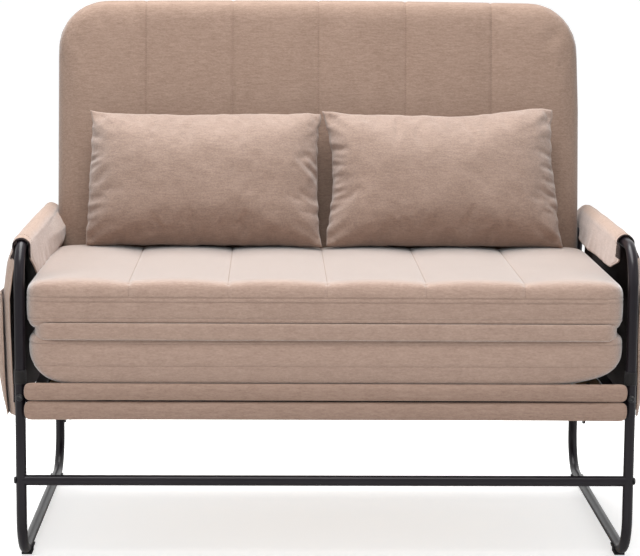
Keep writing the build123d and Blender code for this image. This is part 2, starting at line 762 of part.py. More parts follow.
# Arm covers: a sleeve round the arm tube, a flap inside it and a hanging panel with a pocket outside
sleeve_inner = tube_radius + seat_clearance
sleeve_outer = tube_radius + sleeve_wall
sleeve_start_y = front_post_y + top_bend_radius
sleeve_end_y = rear_post_y - rear_top_bend_radius
for side, sign in sides:
    with BuildPart() as arm_sleeve:
        start = (sign * post_x, sleeve_start_y, arm_axis_height)
        add(rod(start, (0, 1, 0), sleeve_outer, sleeve_end_y - sleeve_start_y))
        add(rod(start, (0, 1, 0), sleeve_inner, sleeve_end_y - sleeve_start_y), mode=Mode.SUBTRACT)
    save(arm_sleeve, "arm_sleeve_" + side)

    with BuildPart() as inner_flap:
        flap_x = post_x - sleeve_outer - flap_thickness - seat_clearance
        with BuildSketch(Plane.YZ.offset(sign * flap_x)):
            with BuildLine():
                top_front = (sleeve_start_y - sleeve_front / 2, arm_axis_height)
                top_rear = (front_post_y + flap_rear_top_behind, arm_axis_height)
                rear_low = (front_post_y + flap_rear_behind, flap_rear_bottom_height)
                tip = (front_post_y + flap_tip_behind, flap_bottom_height)
                Line(top_front, top_rear)
                Line(top_rear, rear_low)
                Line(rear_low, tip)
                Line(tip, top_front)
            make_face()
        extrude(amount=sign * flap_thickness)
    save(inner_flap, "inner_flap_" + side)

panel_front_y = front_post_y + panel_front
panel_rear_y = rear_post_y - panel_rear_margin
panel_places = (
    (post_x + sleeve_outer + seat_clearance, arm_axis_height),
    (panel_bulge_x, panel_bulge_height),
    (panel_bottom_x, panel_bottom_height),
)


def panel_face_x(height, offset):
    """The panel's inner face at a height, moved outwards by an offset."""
    (top_x, top), (mid_x, mid), (low_x, low) = panel_places
    if height > mid:
        return mid_x + (top_x - mid_x) * (height - mid) / (top - mid) + offset
    return low_x + (mid_x - low_x) * (height - low) / (mid - low) + offset


for side, sign in sides:
    with BuildPart() as outer_panel:
        with BuildSketch(Plane.XZ.offset(-panel_front_y)):
            with BuildLine():
                inner = [(sign * x, height) for x, height in panel_places]
                outer = [(sign * (x + panel_thickness), height) for x, height in panel_places]
                Polyline(*inner, *reversed(outer), close=True)
            make_face()
        extrude(amount=-(panel_rear_y - panel_front_y))
    save(outer_panel, "outer_panel_" + side)

# Pockets: an open bag sewn on each panel by its rim, swollen at the middle
pocket_front_y = front_post_y + pocket_front
pocket_length = pocket_rear - pocket_front
pocket_back = panel_thickness + seat_clearance


def pocket_slice(sign, y, length, wall, low, high):
    """A length of the pocket's side view, drawn in from its outer face by a wall."""
    with BuildPart() as part_slice:
        with BuildSketch(Plane.XZ.offset(-y)):
            with BuildLine():
                mouth = (sign * (pocket_mouth_x - wall), high)
                bulge = (sign * (pocket_bulge_x - wall), pocket_bulge_height)
                foot = (sign * panel_face_x(low, pocket_back + pocket_wall), low)
                ThreePointArc(mouth, bulge, foot)
                Polyline(
                    foot,
                    (sign * panel_face_x(low, pocket_back), low),
                    (sign * panel_face_x(panel_bulge_height, pocket_back), panel_bulge_height),
                    (sign * panel_face_x(high, pocket_back), high),
                    mouth,
                )
            make_face()
        extrude(amount=-length)
    return part_slice.part


for side, sign in sides:
    with BuildPart() as side_pocket:
        add(pocket_slice(sign, pocket_front_y, pocket_length, 0, panel_bottom_height, pocket_mouth_height))
        hollow_length = pocket_length - 2 * pocket_end_wall
        hollow_low = panel_bottom_height + pocket_floor
        hollow_y = pocket_front_y + pocket_end_wall
        hollow = pocket_slice(sign, hollow_y, hollow_length, pocket_wall, hollow_low, pocket_mouth_height)
        add(hollow, mode=Mode.SUBTRACT)
    save(side_pocket, "side_pocket_" + side)

# Straps: bands round the posts that hold each panel's lower corners
with BuildPart() as panel_straps:
    for side, sign in sides:
        for y in (front_post_y, rear_post_y):
            start = (sign * post_x, y, bracket_top + strap_gap)
            add(rod(start, (0, 0, 1), tube_radius + strap_wall, strap_width))
            add(rod(start, (0, 0, 1), tube_radius + seat_clearance, strap_width), mode=Mode.SUBTRACT)
save(panel_straps, "panel_straps")

# Pillows: two stuffed covers with thin edges and drawn in sides, leaning on the backrest
pillow_section_shares = (
    (-1.0, 1.0, 0.0),
    (-0.62, 0.975, 0.86),
    (0.0, 0.96, 1.0),
    (0.62, 0.975, 0.86),
    (1.0, 1.0, 0.0),
)
pillow_lean_angle = radians(pillow_lean)
pillow_centre_height = seat_top + pillow_seat_gap + pillow_height / 2 * cos(pillow_lean_angle)
pillow_reach = pillow_thickness / 2 + pillow_back_gap
pillow_centre_y = back_face_y(pillow_centre_height) - pillow_reach / cos(lean_angle)
for side, sign in sides:
    centre_x = sign * (pillow_width / 2 + pillow_inner_end)
    with BuildPart() as pillow:
        for place_share, height_share, swell_share in pillow_section_shares:
            section_plane = Plane(
                origin=(centre_x + place_share * pillow_width / 2, pillow_centre_y, pillow_centre_height),
                x_dir=(0, cos(pillow_lean_angle), -sin(pillow_lean_angle)),
                z_dir=(1, 0, 0),
            )
            half_height = height_share * pillow_height / 2
            half_swell = (pillow_edge + swell_share * (pillow_thickness - pillow_edge)) / 2
            with BuildSketch(section_plane):
                with BuildLine():
                    ThreePointArc((0, -half_height), (half_swell, 0), (0, half_height))
                    ThreePointArc((0, half_height), (-half_swell, 0), (0, -half_height))
                make_face()
        loft()
    save(pillow, "pillow_" + side)
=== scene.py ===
import json
from math import cos, hypot, pi, radians, sin, sqrt

import bmesh
import bpy
import numpy as np
from mathutils import Matrix, Vector, noise


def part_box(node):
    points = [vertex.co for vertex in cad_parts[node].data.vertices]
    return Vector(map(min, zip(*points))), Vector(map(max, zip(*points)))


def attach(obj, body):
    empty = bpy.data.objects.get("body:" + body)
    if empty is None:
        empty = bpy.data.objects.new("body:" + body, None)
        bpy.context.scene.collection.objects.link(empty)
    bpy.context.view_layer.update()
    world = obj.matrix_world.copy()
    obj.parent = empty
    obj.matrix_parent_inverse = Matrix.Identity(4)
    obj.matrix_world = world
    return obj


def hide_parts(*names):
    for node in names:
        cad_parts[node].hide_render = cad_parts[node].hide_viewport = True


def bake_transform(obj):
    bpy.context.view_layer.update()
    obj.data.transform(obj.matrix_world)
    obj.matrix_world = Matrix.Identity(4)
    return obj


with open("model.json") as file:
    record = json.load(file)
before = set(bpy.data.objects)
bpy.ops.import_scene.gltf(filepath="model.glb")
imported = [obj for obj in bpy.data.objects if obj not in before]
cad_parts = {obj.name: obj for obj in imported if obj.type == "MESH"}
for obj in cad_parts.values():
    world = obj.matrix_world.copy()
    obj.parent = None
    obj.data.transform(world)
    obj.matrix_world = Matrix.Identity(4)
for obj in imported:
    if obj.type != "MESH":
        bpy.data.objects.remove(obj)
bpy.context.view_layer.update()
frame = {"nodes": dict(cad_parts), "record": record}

# The studio: a long lens at chest height, a little left of the middle, looks slightly down at the sofa.
# It stands on a plain white floor that runs out to a white surround. One wide soft lamp hangs over it,
# with a weak one out at each side.
studio = bpy.context.scene
studio.view_settings.view_transform = "Standard"


class Thread:
    """One value on its way through a finish. Sums on it add Math nodes, and node() adds any other node."""

    def __init__(self, tree, socket=None):
        self.tree = tree
        self.socket = socket

    def node(self, kind, settings, sockets, out=0):
        made = self.tree.nodes.new(kind)
        for name, value in settings.items():
            setattr(made, name, value)
        for name, value in sockets.items():
            if isinstance(value, Thread):
                self.tree.links.new(value.socket, made.inputs[name])
            else:
                made.inputs[name].default_value = value
        return Thread(self.tree, made.outputs[out])

    def into(self, shader, socket):
        self.tree.links.new(self.socket, shader.inputs[socket])

    def sum(self, operation, *values):
        return self.node("ShaderNodeMath", {"operation": operation}, dict(enumerate(values)))

    def __add__(self, other):
        return self.sum("ADD", self, other)

    def __mul__(self, other):
        return self.sum("MULTIPLY", self, other)

    def __sub__(self, other):
        return self.sum("SUBTRACT", self, other)

    def __rsub__(self, other):
        return self.sum("SUBTRACT", other, self)

    def __abs__(self):
        return self.sum("ABSOLUTE", self)

    def kept(self):
        """The same value, held between 0 and 1."""
        return self.node("ShaderNodeClamp", {}, {0: self, 1: 0.0, 2: 1.0})


def lens_turn(nod, sway, roll):
    """The camera's turn from how far it looks down, how far it sways to the right, and its roll."""
    ahead = Vector((sin(sway) * cos(nod), cos(sway) * cos(nod), -sin(nod)))
    right = ahead.cross(Vector((0, 0, 1))).normalized()
    up = right.cross(ahead)
    rolled = (cos(roll) * right + sin(roll) * up, -sin(roll) * right + cos(roll) * up, -ahead)
    return Matrix(rolled).transposed().to_euler()


def stand(name, data):
    """A new object in the studio, from its mesh, lens or lamp."""
    made = bpy.data.objects.new(name, data)
    studio.collection.objects.link(made)
    return made


def plain_mesh(name, points, edges=(), faces=()):
    """A mesh from its points and from what joins them."""
    mesh = bpy.data.meshes.new(name)
    mesh.from_pydata(points, edges, faces)
    return mesh


def finish(name, shared):
    """A new finish with the values that are the same all over it, and the start of its threads."""
    made = bpy.data.materials.new(name)
    made.use_nodes = True
    shader = made.node_tree.nodes["Principled BSDF"]
    for socket, value in shared.items():
        shader.inputs[socket].default_value = value
    return made, Thread(made.node_tree), shader


camera = stand("camera", bpy.data.cameras.new("camera"))
camera.data.sensor_width = 36
camera.data.lens = 126.38
camera.data.clip_end = 200
camera.location = (-0.1015, -4.3485, 1.0907)
camera.rotation_euler = lens_turn(radians(8.035), radians(1.277), radians(0.407))
studio.camera = camera

white, sky_light = (1, 1, 1, 1), 0.46
surround = bpy.data.worlds.new("surround")
surround.use_nodes = True
studio.world = surround
sky, sky_shader = Thread(surround.node_tree), surround.node_tree.nodes["Background"]
rays = ("Is Camera Ray", "Is Glossy Ray", "Is Transmission Ray")
seen, mirrored, through = [sky.node("ShaderNodeLightPath", {}, {}, ray) for ray in rays]
shows = (seen + mirrored + through).kept()
(shows * (1 - sky_light) + sky_light).into(sky_shader, "Strength")
sky_shader.inputs["Color"].default_value = white

floor_half, floor_glow = 70, 0.62
floor_corners = [(x * floor_half, y * floor_half, 0) for x, y in ((-1, -1), (1, -1), (1, 1), (-1, 1))]
studio_floor = stand("floor", plain_mesh("floor", floor_corners, faces=[(0, 1, 2, 3)]))
floor_paint, start, shader = finish(
    "floor_paint",
    {
        "Base Color": (0.80, 0.80, 0.80, 1), "Roughness": 0.9,
        "Specular IOR Level": 0.1, "Emission Color": white,
    },
)
seen = start.node("ShaderNodeLightPath", {}, {}, "Is Camera Ray")
(seen * floor_glow).into(shader, "Emission Strength")
studio_floor.data.materials.append(floor_paint)

for lamp_name, place, aim, size, power in (
    ("overhead", (-0.25, -0.15, 3.0), (0, -0.10, 0.45), (3.4, 1.6), 158),
    ("left_wall", (-3.2, -2.2, 1.5), (0, 0, 0.6), (1.0, 2.4), 13),
    ("right_wall", (3.2, -2.2, 1.5), (0, 0, 0.6), (1.0, 2.4), 9),
):
    lamp = bpy.data.lights.new(lamp_name, "AREA")
    lamp.shape = "RECTANGLE"
    lamp.size, lamp.size_y = size
    lamp.energy = power
    holder = stand(lamp_name, lamp)
    holder.location = place
    holder.rotation_euler = (Vector(aim) - Vector(place)).to_track_quat("-Z", "Y").to_euler()

# The tube frame: two closed loops of 19 mm steel tube, the crossbars between them, and the brackets,
# rails, tracks and hinge plates of flat steel. All of it is powder coated black with a soft gloss.


def grain(start, scale, detail=2.0, stretch=(1, 1, 1), roughness=0.5):
    """Noise in metres of the piece's own space, stretched along its axes."""
    place = start.node("ShaderNodeTexCoord", {}, {}, "Object")
    turned = start.node("ShaderNodeMapping", {}, {"Vector": place, "Scale": stretch})
    sockets = {"Vector": turned, "Scale": scale, "Detail": detail, "Roughness": roughness}
    return start.node("ShaderNodeTexNoise", {}, sockets, "Fac")


def blend_of(start, share, first, second):
    """A colour between two, by a share."""
    sockets = {0: share, 6: first, 7: second}
    return start.node("ShaderNodeMix", {"data_type": "RGBA", "clamp_factor": True}, sockets, 2)


def relief(start, shader, height, strength, depth):
    """Raises the finish's fine surface by a height."""
    sockets = {"Strength": strength, "Distance": depth, "Height": height}
    start.node("ShaderNodeBump", {}, sockets, "Normal").into(shader, "Normal")


def paint_nodes(made, *names):
    """CAD pieces that keep their own mesh and take a finish."""
    for name in names:
        mesh = frame["nodes"][name].data
        mesh.materials.clear()
        mesh.materials.append(made)


black_coat, start, shader = finish("black_powder_coat", {"Coat Roughness": 0.10, "Specular IOR Level": 0.19})
orange_peel = grain(start, 520, 2.0)
handling = grain(start, 9, 3.0)
coat_dark, coat_light = (0.0065, 0.0045, 0.0070, 1), (0.0125, 0.0095, 0.0130, 1)
blend_of(start, handling, coat_dark, coat_light).into(shader, "Base Color")
(handling * 0.16 + 0.25).into(shader, "Roughness")
(handling * 0.16).into(shader, "Coat Weight")
relief(start, shader, orange_peel, 0.25, 0.0003)
paint_nodes(
    black_coat,
    "side_frame_left", "side_frame_right", "front_crossbar", "rear_crossbar", "corner_brackets",
    "side_rail_left", "side_rail_right", "front_rail", "rear_rail", "tray_track_left", "tray_track_right",
    "ratchet_plate_left", "ratchet_plate_right", "recline_arm_left", "recline_arm_right", "backrest_tube",
    "tray_front_rail", "tray_runner_left", "tray_runner_right", "tray_rear_rail", "leg_brackets",
    "folding_leg",
)

# Bolts and pins: turned steel with domed heads, plated with black zinc and worn a little brighter on the
# crowns. The bolts hold the crossbars and brackets, and the backrest and the folding leg turn on the pins.
bolt_zinc, start, shader = finish("black_zinc", {"Metallic": 0.7})
wear = grain(start, 240, 4.0)
zinc_dark, zinc_worn = (0.020, 0.020, 0.022, 1), (0.11, 0.105, 0.10, 1)
blend_of(start, (wear - 0.52) * 5, zinc_dark, zinc_worn).into(shader, "Base Color")
(wear * 0.35 + 0.22).into(shader, "Roughness")
relief(start, shader, wear, 0.2, 0.0002)
paint_nodes(bolt_zinc, "crossbar_bolts", "bracket_bolts", "recline_pins", "leg_pins")

# Feet: moulded rubber shoes, matt and finely pitted. They are pushed on to the tubes, under the floor
# runners and on the folding leg.
foot_rubber, start, shader = finish("foot_rubber", {"Specular IOR Level": 0.3})
pits = grain(start, 900, 3.0)
dust = grain(start, 40, 2.0)
blend_of(start, dust, (0.012, 0.012, 0.013, 1), (0.030, 0.029, 0.028, 1)).into(shader, "Base Color")
(pits * 0.2 + 0.68).into(shader, "Roughness")
relief(start, shader, pits, 0.5, 0.0003)
paint_nodes(foot_rubber, "rubber_feet", "leg_feet")

# Glides: moulded blocks of pale nylon, fixed under the tray's runners. The tracks polish them along
# their length each time the tray is pulled out.
skin_glow = {"Subsurface Weight": 0.15, "Subsurface Radius": (0.004, 0.004, 0.003)}
glide_nylon, start, shader = finish("glide_nylon", skin_glow)
rubbed = grain(start, 120, 3.0, (1, 0.1, 1))
blend_of(start, rubbed, (0.62, 0.60, 0.55, 1), (0.78, 0.77, 0.73, 1)).into(shader, "Base Color")
(rubbed * 0.3 + 0.3).into(shader, "Roughness")
paint_nodes(glide_nylon, "tray_glides")

# Slats: strips of lacquered birch plywood, screwed down at both ends. The face grain runs along each
# slat, and the layers of the ply show at its edges.
slat_wood, start, shader = finish("slat_birch", {"Coat Roughness": 0.25, "Specular IOR Level": 0.45})
ply_layer = 0.0008
place = start.node("ShaderNodeTexCoord", {}, {}, "Object")
height = start.node("ShaderNodeSeparateXYZ", {}, {0: place}, "Z")
fibre = grain(start, 60, 4.0, (6, 0.25, 6), 0.6)
figure = grain(start, 7, 3.0, (3, 0.5, 3))
layers = start.sum("PINGPONG", height, ply_layer) * (1 / ply_layer)
faces = start.node("ShaderNodeNewGeometry", {}, {}, "Normal")
upright = start.node("ShaderNodeSeparateXYZ", {}, {0: faces}, "Z")
edge = (1 - abs(upright) * 1.6).kept()
face_dark, face_light = (0.46, 0.29, 0.15, 1), (0.72, 0.53, 0.33, 1)
edge_dark, edge_light = (0.30, 0.18, 0.09, 1), (0.66, 0.47, 0.29, 1)
face_colour = blend_of(start, (fibre * 0.7 + figure * 0.5 - 0.1).kept(), face_dark, face_light)
edge_colour = blend_of(start, (layers - 0.3) * 2.5, edge_dark, edge_light)
blend_of(start, edge, face_colour, edge_colour).into(shader, "Base Color")
(fibre * 0.2 + 0.34).into(shader, "Roughness")
relief(start, shader, fibre, 0.35, 0.0004)
paint_nodes(slat_wood, "fixed_slats", "tray_slats")

# Cover cloth: a short pile chenille in warm taupe, flecked along the width, which shades with its pile
# and shines softly where it is seen at a low angle. Along a seam its colour is darkened as painted shade.


def cover_cloth(name, light, dark, sheen, stretch, tint=(1.0, 0.975, 0.96, 1), haze=0.36, contrast=1.0):
    """The cover cloth, with its flecks stretched along the piece's axes. Haze spreads its pile's sheen."""
    pile_look = {
        "Sheen Weight": sheen, "Sheen Roughness": haze, "Sheen Tint": tint, "Specular IOR Level": 0.12,
    }
    made, start, shader = finish(name, pile_look)
    fleck = grain(start, 420, 3.0, stretch, 0.65)
    slub = grain(start, 260, 2.0, tuple(0.22 if value < 1 else 1.0 for value in stretch), 0.55)
    mottle = grain(start, 26, 2.0)
    shading = grain(start, 5.5, 2.0)
    # Painted shade: the seam attribute that the sewing writes draws the colour towards a shadowed dark in the
    # seams' valleys.
    seam = start.node("ShaderNodeAttribute", {"attribute_name": "seam"}, {}, "Fac")
    speckle = (fleck - 0.5) * (1.4 * contrast) + (slub - 0.5) * 1.2
    share = speckle + (mottle - 0.5) * (0.35 * contrast) + (shading - 0.5) * 0.25 + 0.5
    pile = blend_of(start, share.kept(), dark, light)
    shadowed = tuple(share_left * value for share_left, value in zip((0.46, 0.36, 0.31), dark)) + (1,)
    blend_of(start, (seam * 0.75).kept(), pile, shadowed).into(shader, "Base Color")
    (0.97 - fleck * 0.14).into(shader, "Roughness")
    tufts = grain(start, 1300, 2.0, stretch)
    relief(start, shader, fleck * 0.6 + tufts * 0.5 + slub * 0.4, 0.55, 0.0011 * contrast)
    return made


taupe_light, taupe_dark = (0.402, 0.272, 0.208, 1), (0.294, 0.187, 0.138, 1)
cool_sheen = (0.92, 0.975, 1.0, 1)
taupe_chenille = cover_cloth(
    "taupe_chenille", taupe_light, taupe_dark, 0.96, (0.42, 1, 1), cool_sheen, haze=0.57, contrast=1.4
)


def lengths(rows):
    """The length of each row, never quite nothing, so that it can be divided by."""
    return np.maximum(np.linalg.norm(rows, axis=1, keepdims=True), 1e-9)


def padded_block(name, half, corners, rounding, step):
    """A closed foam block about its own middle: x and y span its outline, z is its thickness.
    Its outline's corners have two radii, at the high and at the low end of y."""
    half = np.array(half, float)
    counts = [max(2, round(2 * h / step)) for h in half]
    index, points, quads = {}, [], []
    for axis in range(3):
        a, b = (axis + 1) % 3, (axis + 2) % 3
        for side in (0, counts[axis]):
            for i in range(counts[a]):
                for j in range(counts[b]):
                    quad = []
                    for di, dj in ((0, 0), (1, 0), (1, 1), (0, 1)):
                        key = [0, 0, 0]
                        key[axis], key[a], key[b] = side, i + di, j + dj
                        key = tuple(key)
                        if key not in index:
                            index[key] = len(points)
                            points.append([2 * h * n / c - h for n, c, h in zip(key, counts, half)])
                        quad.append(index[key])
                    quads.append(quad if side else quad[::-1])
    points = np.array(points)
    corner = np.where(points[:, 1:2] > 0, corners[0], corners[1])
    inner = np.clip(points[:, :2], -(half[:2] - corner), half[:2] - corner)
    outward = points[:, :2] - inner
    reach = lengths(outward)
    core = inner + outward * np.minimum(1, (corner - rounding) / reach)
    core = np.hstack([core, np.clip(points[:, 2:], rounding - half[2], half[2] - rounding)])
    outward = points - core
    reach = lengths(outward)
    return stand(name, plain_mesh(name, (core + outward * rounding / reach).tolist(), faces=quads))


def rows_of(values, attribute):
    """A mesh's own points or normals as rows of x, y, z."""
    flat = np.empty(3 * len(values))
    values.foreach_get(attribute, flat)
    return flat.reshape(-1, 3)


def points_of(piece):
    return rows_of(piece.data.vertices, "co")


def set_points(piece, points):
    """Moves the piece's points to new places."""
    piece.data.vertices.foreach_set("co", np.ascontiguousarray(points).ravel())
    piece.data.update()


def with_modifier(piece, kind, **settings):
    """The piece's mesh as one modifier leaves it. The modifier itself is taken off again."""
    added = piece.modifiers.new(kind.lower(), kind)
    for name, value in settings.items():
        setattr(added, name, value)
    shown = piece.evaluated_get(bpy.context.evaluated_depsgraph_get())
    mesh = bpy.data.meshes.new_from_object(shown)
    piece.modifiers.clear()
    piece.data = mesh
    return piece


def swell(piece, held, pressure, cap, slack=0.0):
    """Fills the closed cover with cloth physics. Held points stay on their seams, and none moves past
    the cap."""
    start = points_of(piece)
    group = piece.vertex_groups.new(name="held")
    group.add([int(i) for i in np.nonzero(held)[0]], 1.0, "REPLACE")
    cloth = piece.modifiers.new("cloth", "CLOTH")
    cover = cloth.settings
    cover.quality = 4
    cover.mass = 0.3
    cover.tension_stiffness = cover.compression_stiffness = 14
    cover.shear_stiffness = 8
    cover.bending_stiffness = 0.6
    cover.use_pressure = True
    cover.uniform_pressure_force = pressure
    cover.shrink_min = -slack
    cover.vertex_group_mass = "held"
    cover.effector_weights.gravity = 0
    cloth.collision_settings.use_collision = False
    swell_steps = 20
    for step in range(1, swell_steps + 1):
        studio.frame_set(step)
    moved = points_of(piece.evaluated_get(bpy.context.evaluated_depsgraph_get())) - start
    length = lengths(moved)
    piece.modifiers.clear()
    piece.vertex_groups.clear()
    studio.frame_set(1)
    set_points(piece, start + moved / length * cap * np.tanh(length / cap))


def stuff(piece, held, **filling):
    """Fills a cover and smooths its skin once."""
    swell(piece, held, **filling)
    return with_modifier(piece, "SUBSURF", levels=1, render_levels=1)


def fit(points, low, high):
    """Brings the points' outer limits to the low and high corners of the space that the piece holds."""
    least, most = points.min(0), points.max(0)
    return (points - least) / (most - least) * (np.array(high) - np.array(low)) + np.array(low)


def bump_between(x, seams):
    """1 at the middle of each channel and 0 on its seams, as a smooth arch."""
    spans = np.clip(np.searchsorted(seams, x) - 1, 0, len(seams) - 2)
    left, right = np.array(seams)[spans], np.array(seams)[spans + 1]
    share = np.clip((x - left) / (right - left), 0, 1)
    return 1 - (2 * share - 1) ** 2


def sew(piece, lines):
    """Cuts straight seams into the finished skin. A line has a point, a direction across it, which skin
    it runs on, and rows of (offset, depth, shade). The rows are pressed in along the skin's normals and
    darkened there as painted shade."""
    work = bmesh.new()
    work.from_mesh(piece.data)
    shade = work.verts.layers.float.get("seam") or work.verts.layers.float.new("seam")
    cut_reach, cut_gap = 0.02, 0.0002
    for point, across, runs, rows in lines:
        point, across = Vector(point), Vector(across).normalized()
        offsets, depths, shades = zip(*rows)
        for offset in offsets:
            near = [f for f in work.faces if abs((f.calc_center_median() - point).dot(across)) < cut_reach]
            skin = [f for f in near if runs(f.calc_center_median(), f.normal)]
            cut = skin + list({e for f in skin for e in f.edges}) + list({v for f in skin for v in f.verts})
            middle = point + across * offset
            bmesh.ops.bisect_plane(work, geom=cut, dist=cut_gap, plane_co=middle, plane_no=across)
        work.normal_update()
        pressed = []
        for vert in work.verts:
            away = (vert.co - point).dot(across)
            if offsets[0] <= away <= offsets[-1] and runs(vert.co, vert.normal):
                depth, dark = float(np.interp(away, offsets, depths)), float(np.interp(away, offsets, shades))
                pressed.append((vert, vert.normal * depth, dark))
        for vert, push, dark in pressed:
            vert.co -= push
            vert[shade] = max(vert[shade], dark)
    work.to_mesh(piece.data)
    work.free()


def dress(piece, made):
    """Gives a piece its finish and smooth shading."""
    piece.data.materials.clear()
    piece.data.materials.append(made)
    for face in piece.data.polygons:
        face.use_smooth = True


def seam_rows(depth, shade, half=0.009):
    """A sewn valley: soft shoulders, and a narrow line of painted shade at the bottom."""
    line = 0.0011
    return (
        (-half, 0.0, 0.0),
        (-half / 2, 0.30 * depth, 0.0),
        (-line, 0.80 * depth, 0.12 * shade),
        (0.0, depth, shade),
        (line, 0.80 * depth, 0.12 * shade),
        (half / 2, 0.30 * depth, 0.0),
        (half, 0.0, 0.0),
    )


def felled_rows(depth, shade):
    """A folded edge of cloth over the seam: a low ridge above and a sharp line of painted shade below."""
    return (
        (-0.006, 0.0, 0.0),
        (-0.0012, 0.55 * depth, 0.25 * shade),
        (0.0, depth, shade),
        (0.0012, -0.35 * depth, 0.1 * shade),
        (0.0040, -0.25 * depth, 0.0),
        (0.0085, 0.0, 0.0),
    )


# Seat cushions: two equal slabs of foam in one cover. The lower one lies on the slats, and the upper one
# lies folded back on it. Five lines of stitching divide the top into six soft channels.
channel_seams = (-0.5330, -0.3540, -0.1770, 0.0, 0.1770, 0.3540, 0.5330)
slab_corners, slab_step, upper_rounding, lower_rounding = (0.030, 0.030), 0.009, 0.019, 0.021
channel_depth, valley_depth, held_at_side = 0.0050, 0.0020, 0.020


def space_of(node):
    """The space that a CAD piece holds: its low and high corners, its middle and half its size."""
    low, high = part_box(node)
    return low, high, (low + high) / 2, (high - low) / 2


def dip_channels(points, seams, share, depth):
    """Lowers the skin towards the seams between the channels, most of all where share is 1."""
    dip = depth * (1 - bump_between(points[:, 0], seams)) * share ** 2
    points[:, 2] -= np.where(share > 0, dip, 0)


def near_seams(points, seams, reach=0.0047):
    """Which points the stitching between the channels holds."""
    return np.abs(points[:, :1] - np.array(seams[1:-1])).min(1) < reach


low, high, middle, half = space_of("upper_cushion")
swell_room = Vector((0.006, 0.005, 0.004))
upper_cushion = padded_block("seat_cushion_upper", half - swell_room, slab_corners, upper_rounding, slab_step)
points = points_of(upper_cushion)
rise = points[:, 2] / half.z
points[:, 0] *= 1 - 0.012 * np.abs(rise) ** 3.0
dip_channels(points, channel_seams, rise, channel_depth)
set_points(upper_cushion, points + np.array(middle))
stitched = near_seams(points, channel_seams) & (rise > 0.5)
at_side = np.abs(points[:, 0]) > half.x - held_at_side
upper_cushion = stuff(upper_cushion, stitched | (rise < -0.6) | at_side, pressure=2.5, cap=0.005)
top_of_seat, front_of_seat = high.z - 0.005, low.y
slab_low, slab_high = (low.x - 0.005, low.y, low.z), (high.x + 0.001, high.y, top_of_seat)
set_points(upper_cushion, fit(points_of(upper_cushion), slab_low, slab_high))
front_edge_low, front_edge_high, under_the_back, front_skin = 0.4965, 0.5185, 0.125, 0.10


def on_seat_top(place, normal):
    return place.z > front_edge_high and normal.z > 0.15 and place.y < under_the_back


def on_seat_edge(place, normal):
    return front_edge_low < place.z <= front_edge_high and normal.y < -0.2


def round_the_front(place, normal):
    return place.y < front_skin and -0.75 < normal.z < 0.75


channel_lines = [
    ((x, 0, 0), (1, 0, 0), skin, seam_rows(valley_depth, shade))
    for skin, shade in ((on_seat_top, 0.06), (on_seat_edge, 0.30))
    for x in channel_seams[1:-1]
]
twin_seams, lip_seam, upper_fell, lower_fell, lower_seam = (0.4868, 0.4950), 0.4570, 0.4495, 0.4110, 0.3712
front_lines = [
    ((0, 0, height), (0, 0, 1), round_the_front, rows)
    for height, rows in (
        (twin_seams[1], seam_rows(0.0005, 0.26, 0.0030)),
        (twin_seams[0], seam_rows(0.0005, 0.20, 0.0030)),
        (lip_seam, seam_rows(0.0004, 0.20, 0.0028)),
        (upper_fell, felled_rows(0.0008, 0.42)),
    )
]
sew(upper_cushion, channel_lines + front_lines)
dress(upper_cushion, taupe_chenille)
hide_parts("upper_cushion")
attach(upper_cushion, "seat_fold")

low, high, middle, half = space_of("lower_cushion")
swell_room = Vector((0.006, 0.005, 0.003))
lower_cushion = padded_block("seat_cushion_lower", half - swell_room, slab_corners, lower_rounding, slab_step)
points = points_of(lower_cushion)
rise = points[:, 2] / half.z
points[:, 0] *= 1 - 0.014 * np.abs(rise) ** 2.6
for sign, along, lift in ((-1, 0.095, 0.064), (1, 0.165, 0.056)):
    past = np.clip((sign * points[:, 0] - (half.x - along)) / along, 0, 1)
    ground = lift * (1 - np.sqrt(np.maximum(0, 1 - past ** 2)))
    points[:, 2] += ground * (1 - (points[:, 2] + half.z) / (2 * half.z))
set_points(lower_cushion, points + np.array(middle))
lower_cushion = stuff(lower_cushion, (rise < -0.55) | (rise > 0.8), pressure=2.5, cap=0.004)
set_points(lower_cushion, fit(points_of(lower_cushion), low, high))
sew(
    lower_cushion,
    [
        ((0, 0, lower_fell), (0, 0, 1), round_the_front, felled_rows(0.0007, 0.40)),
        ((0, 0, lower_seam), (0, 0, -1), round_the_front, felled_rows(0.0007, 0.24)),
    ],
)
dress(lower_cushion, taupe_chenille)
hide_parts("lower_cushion")
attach(lower_cushion, "frame")

# Fold band: the strip of cover cloth that joins the two cushions across the front. It is sewn to both
# and turns round their corners.


def cloth_from(name, rows, thickness):
    """A sheet of cloth from rows of points, given its thickness with rounded edges."""
    rows = np.array(rows)
    down, along = rows.shape[:2]
    quads = [
        (i * along + j, i * along + j + 1, (i + 1) * along + j + 1, (i + 1) * along + j)
        for i in range(down - 1)
        for j in range(along - 1)
    ]
    made = stand(name, plain_mesh(name, rows.reshape(-1, 3).tolist(), faces=quads))
    made = with_modifier(made, "SOLIDIFY", thickness=thickness, offset=0.0, use_even_offset=True)
    return with_modifier(made, "SUBSURF", levels=1, render_levels=1)


def cut_size(rows):
    """The cloth's flat size from its rows of points: its width, its length and its area."""
    rows = np.array(rows)
    width = float(np.linalg.norm(np.diff(rows, axis=1), axis=2).sum(1).max())
    length = float(np.linalg.norm(np.diff(rows, axis=0), axis=2).sum(0).max())
    right, down = rows[:-1, 1:] - rows[:-1, :-1], rows[1:, :-1] - rows[:-1, :-1]
    area = float(np.linalg.norm(np.cross(right, down), axis=2).sum())
    return width, length, min(area, width * length)


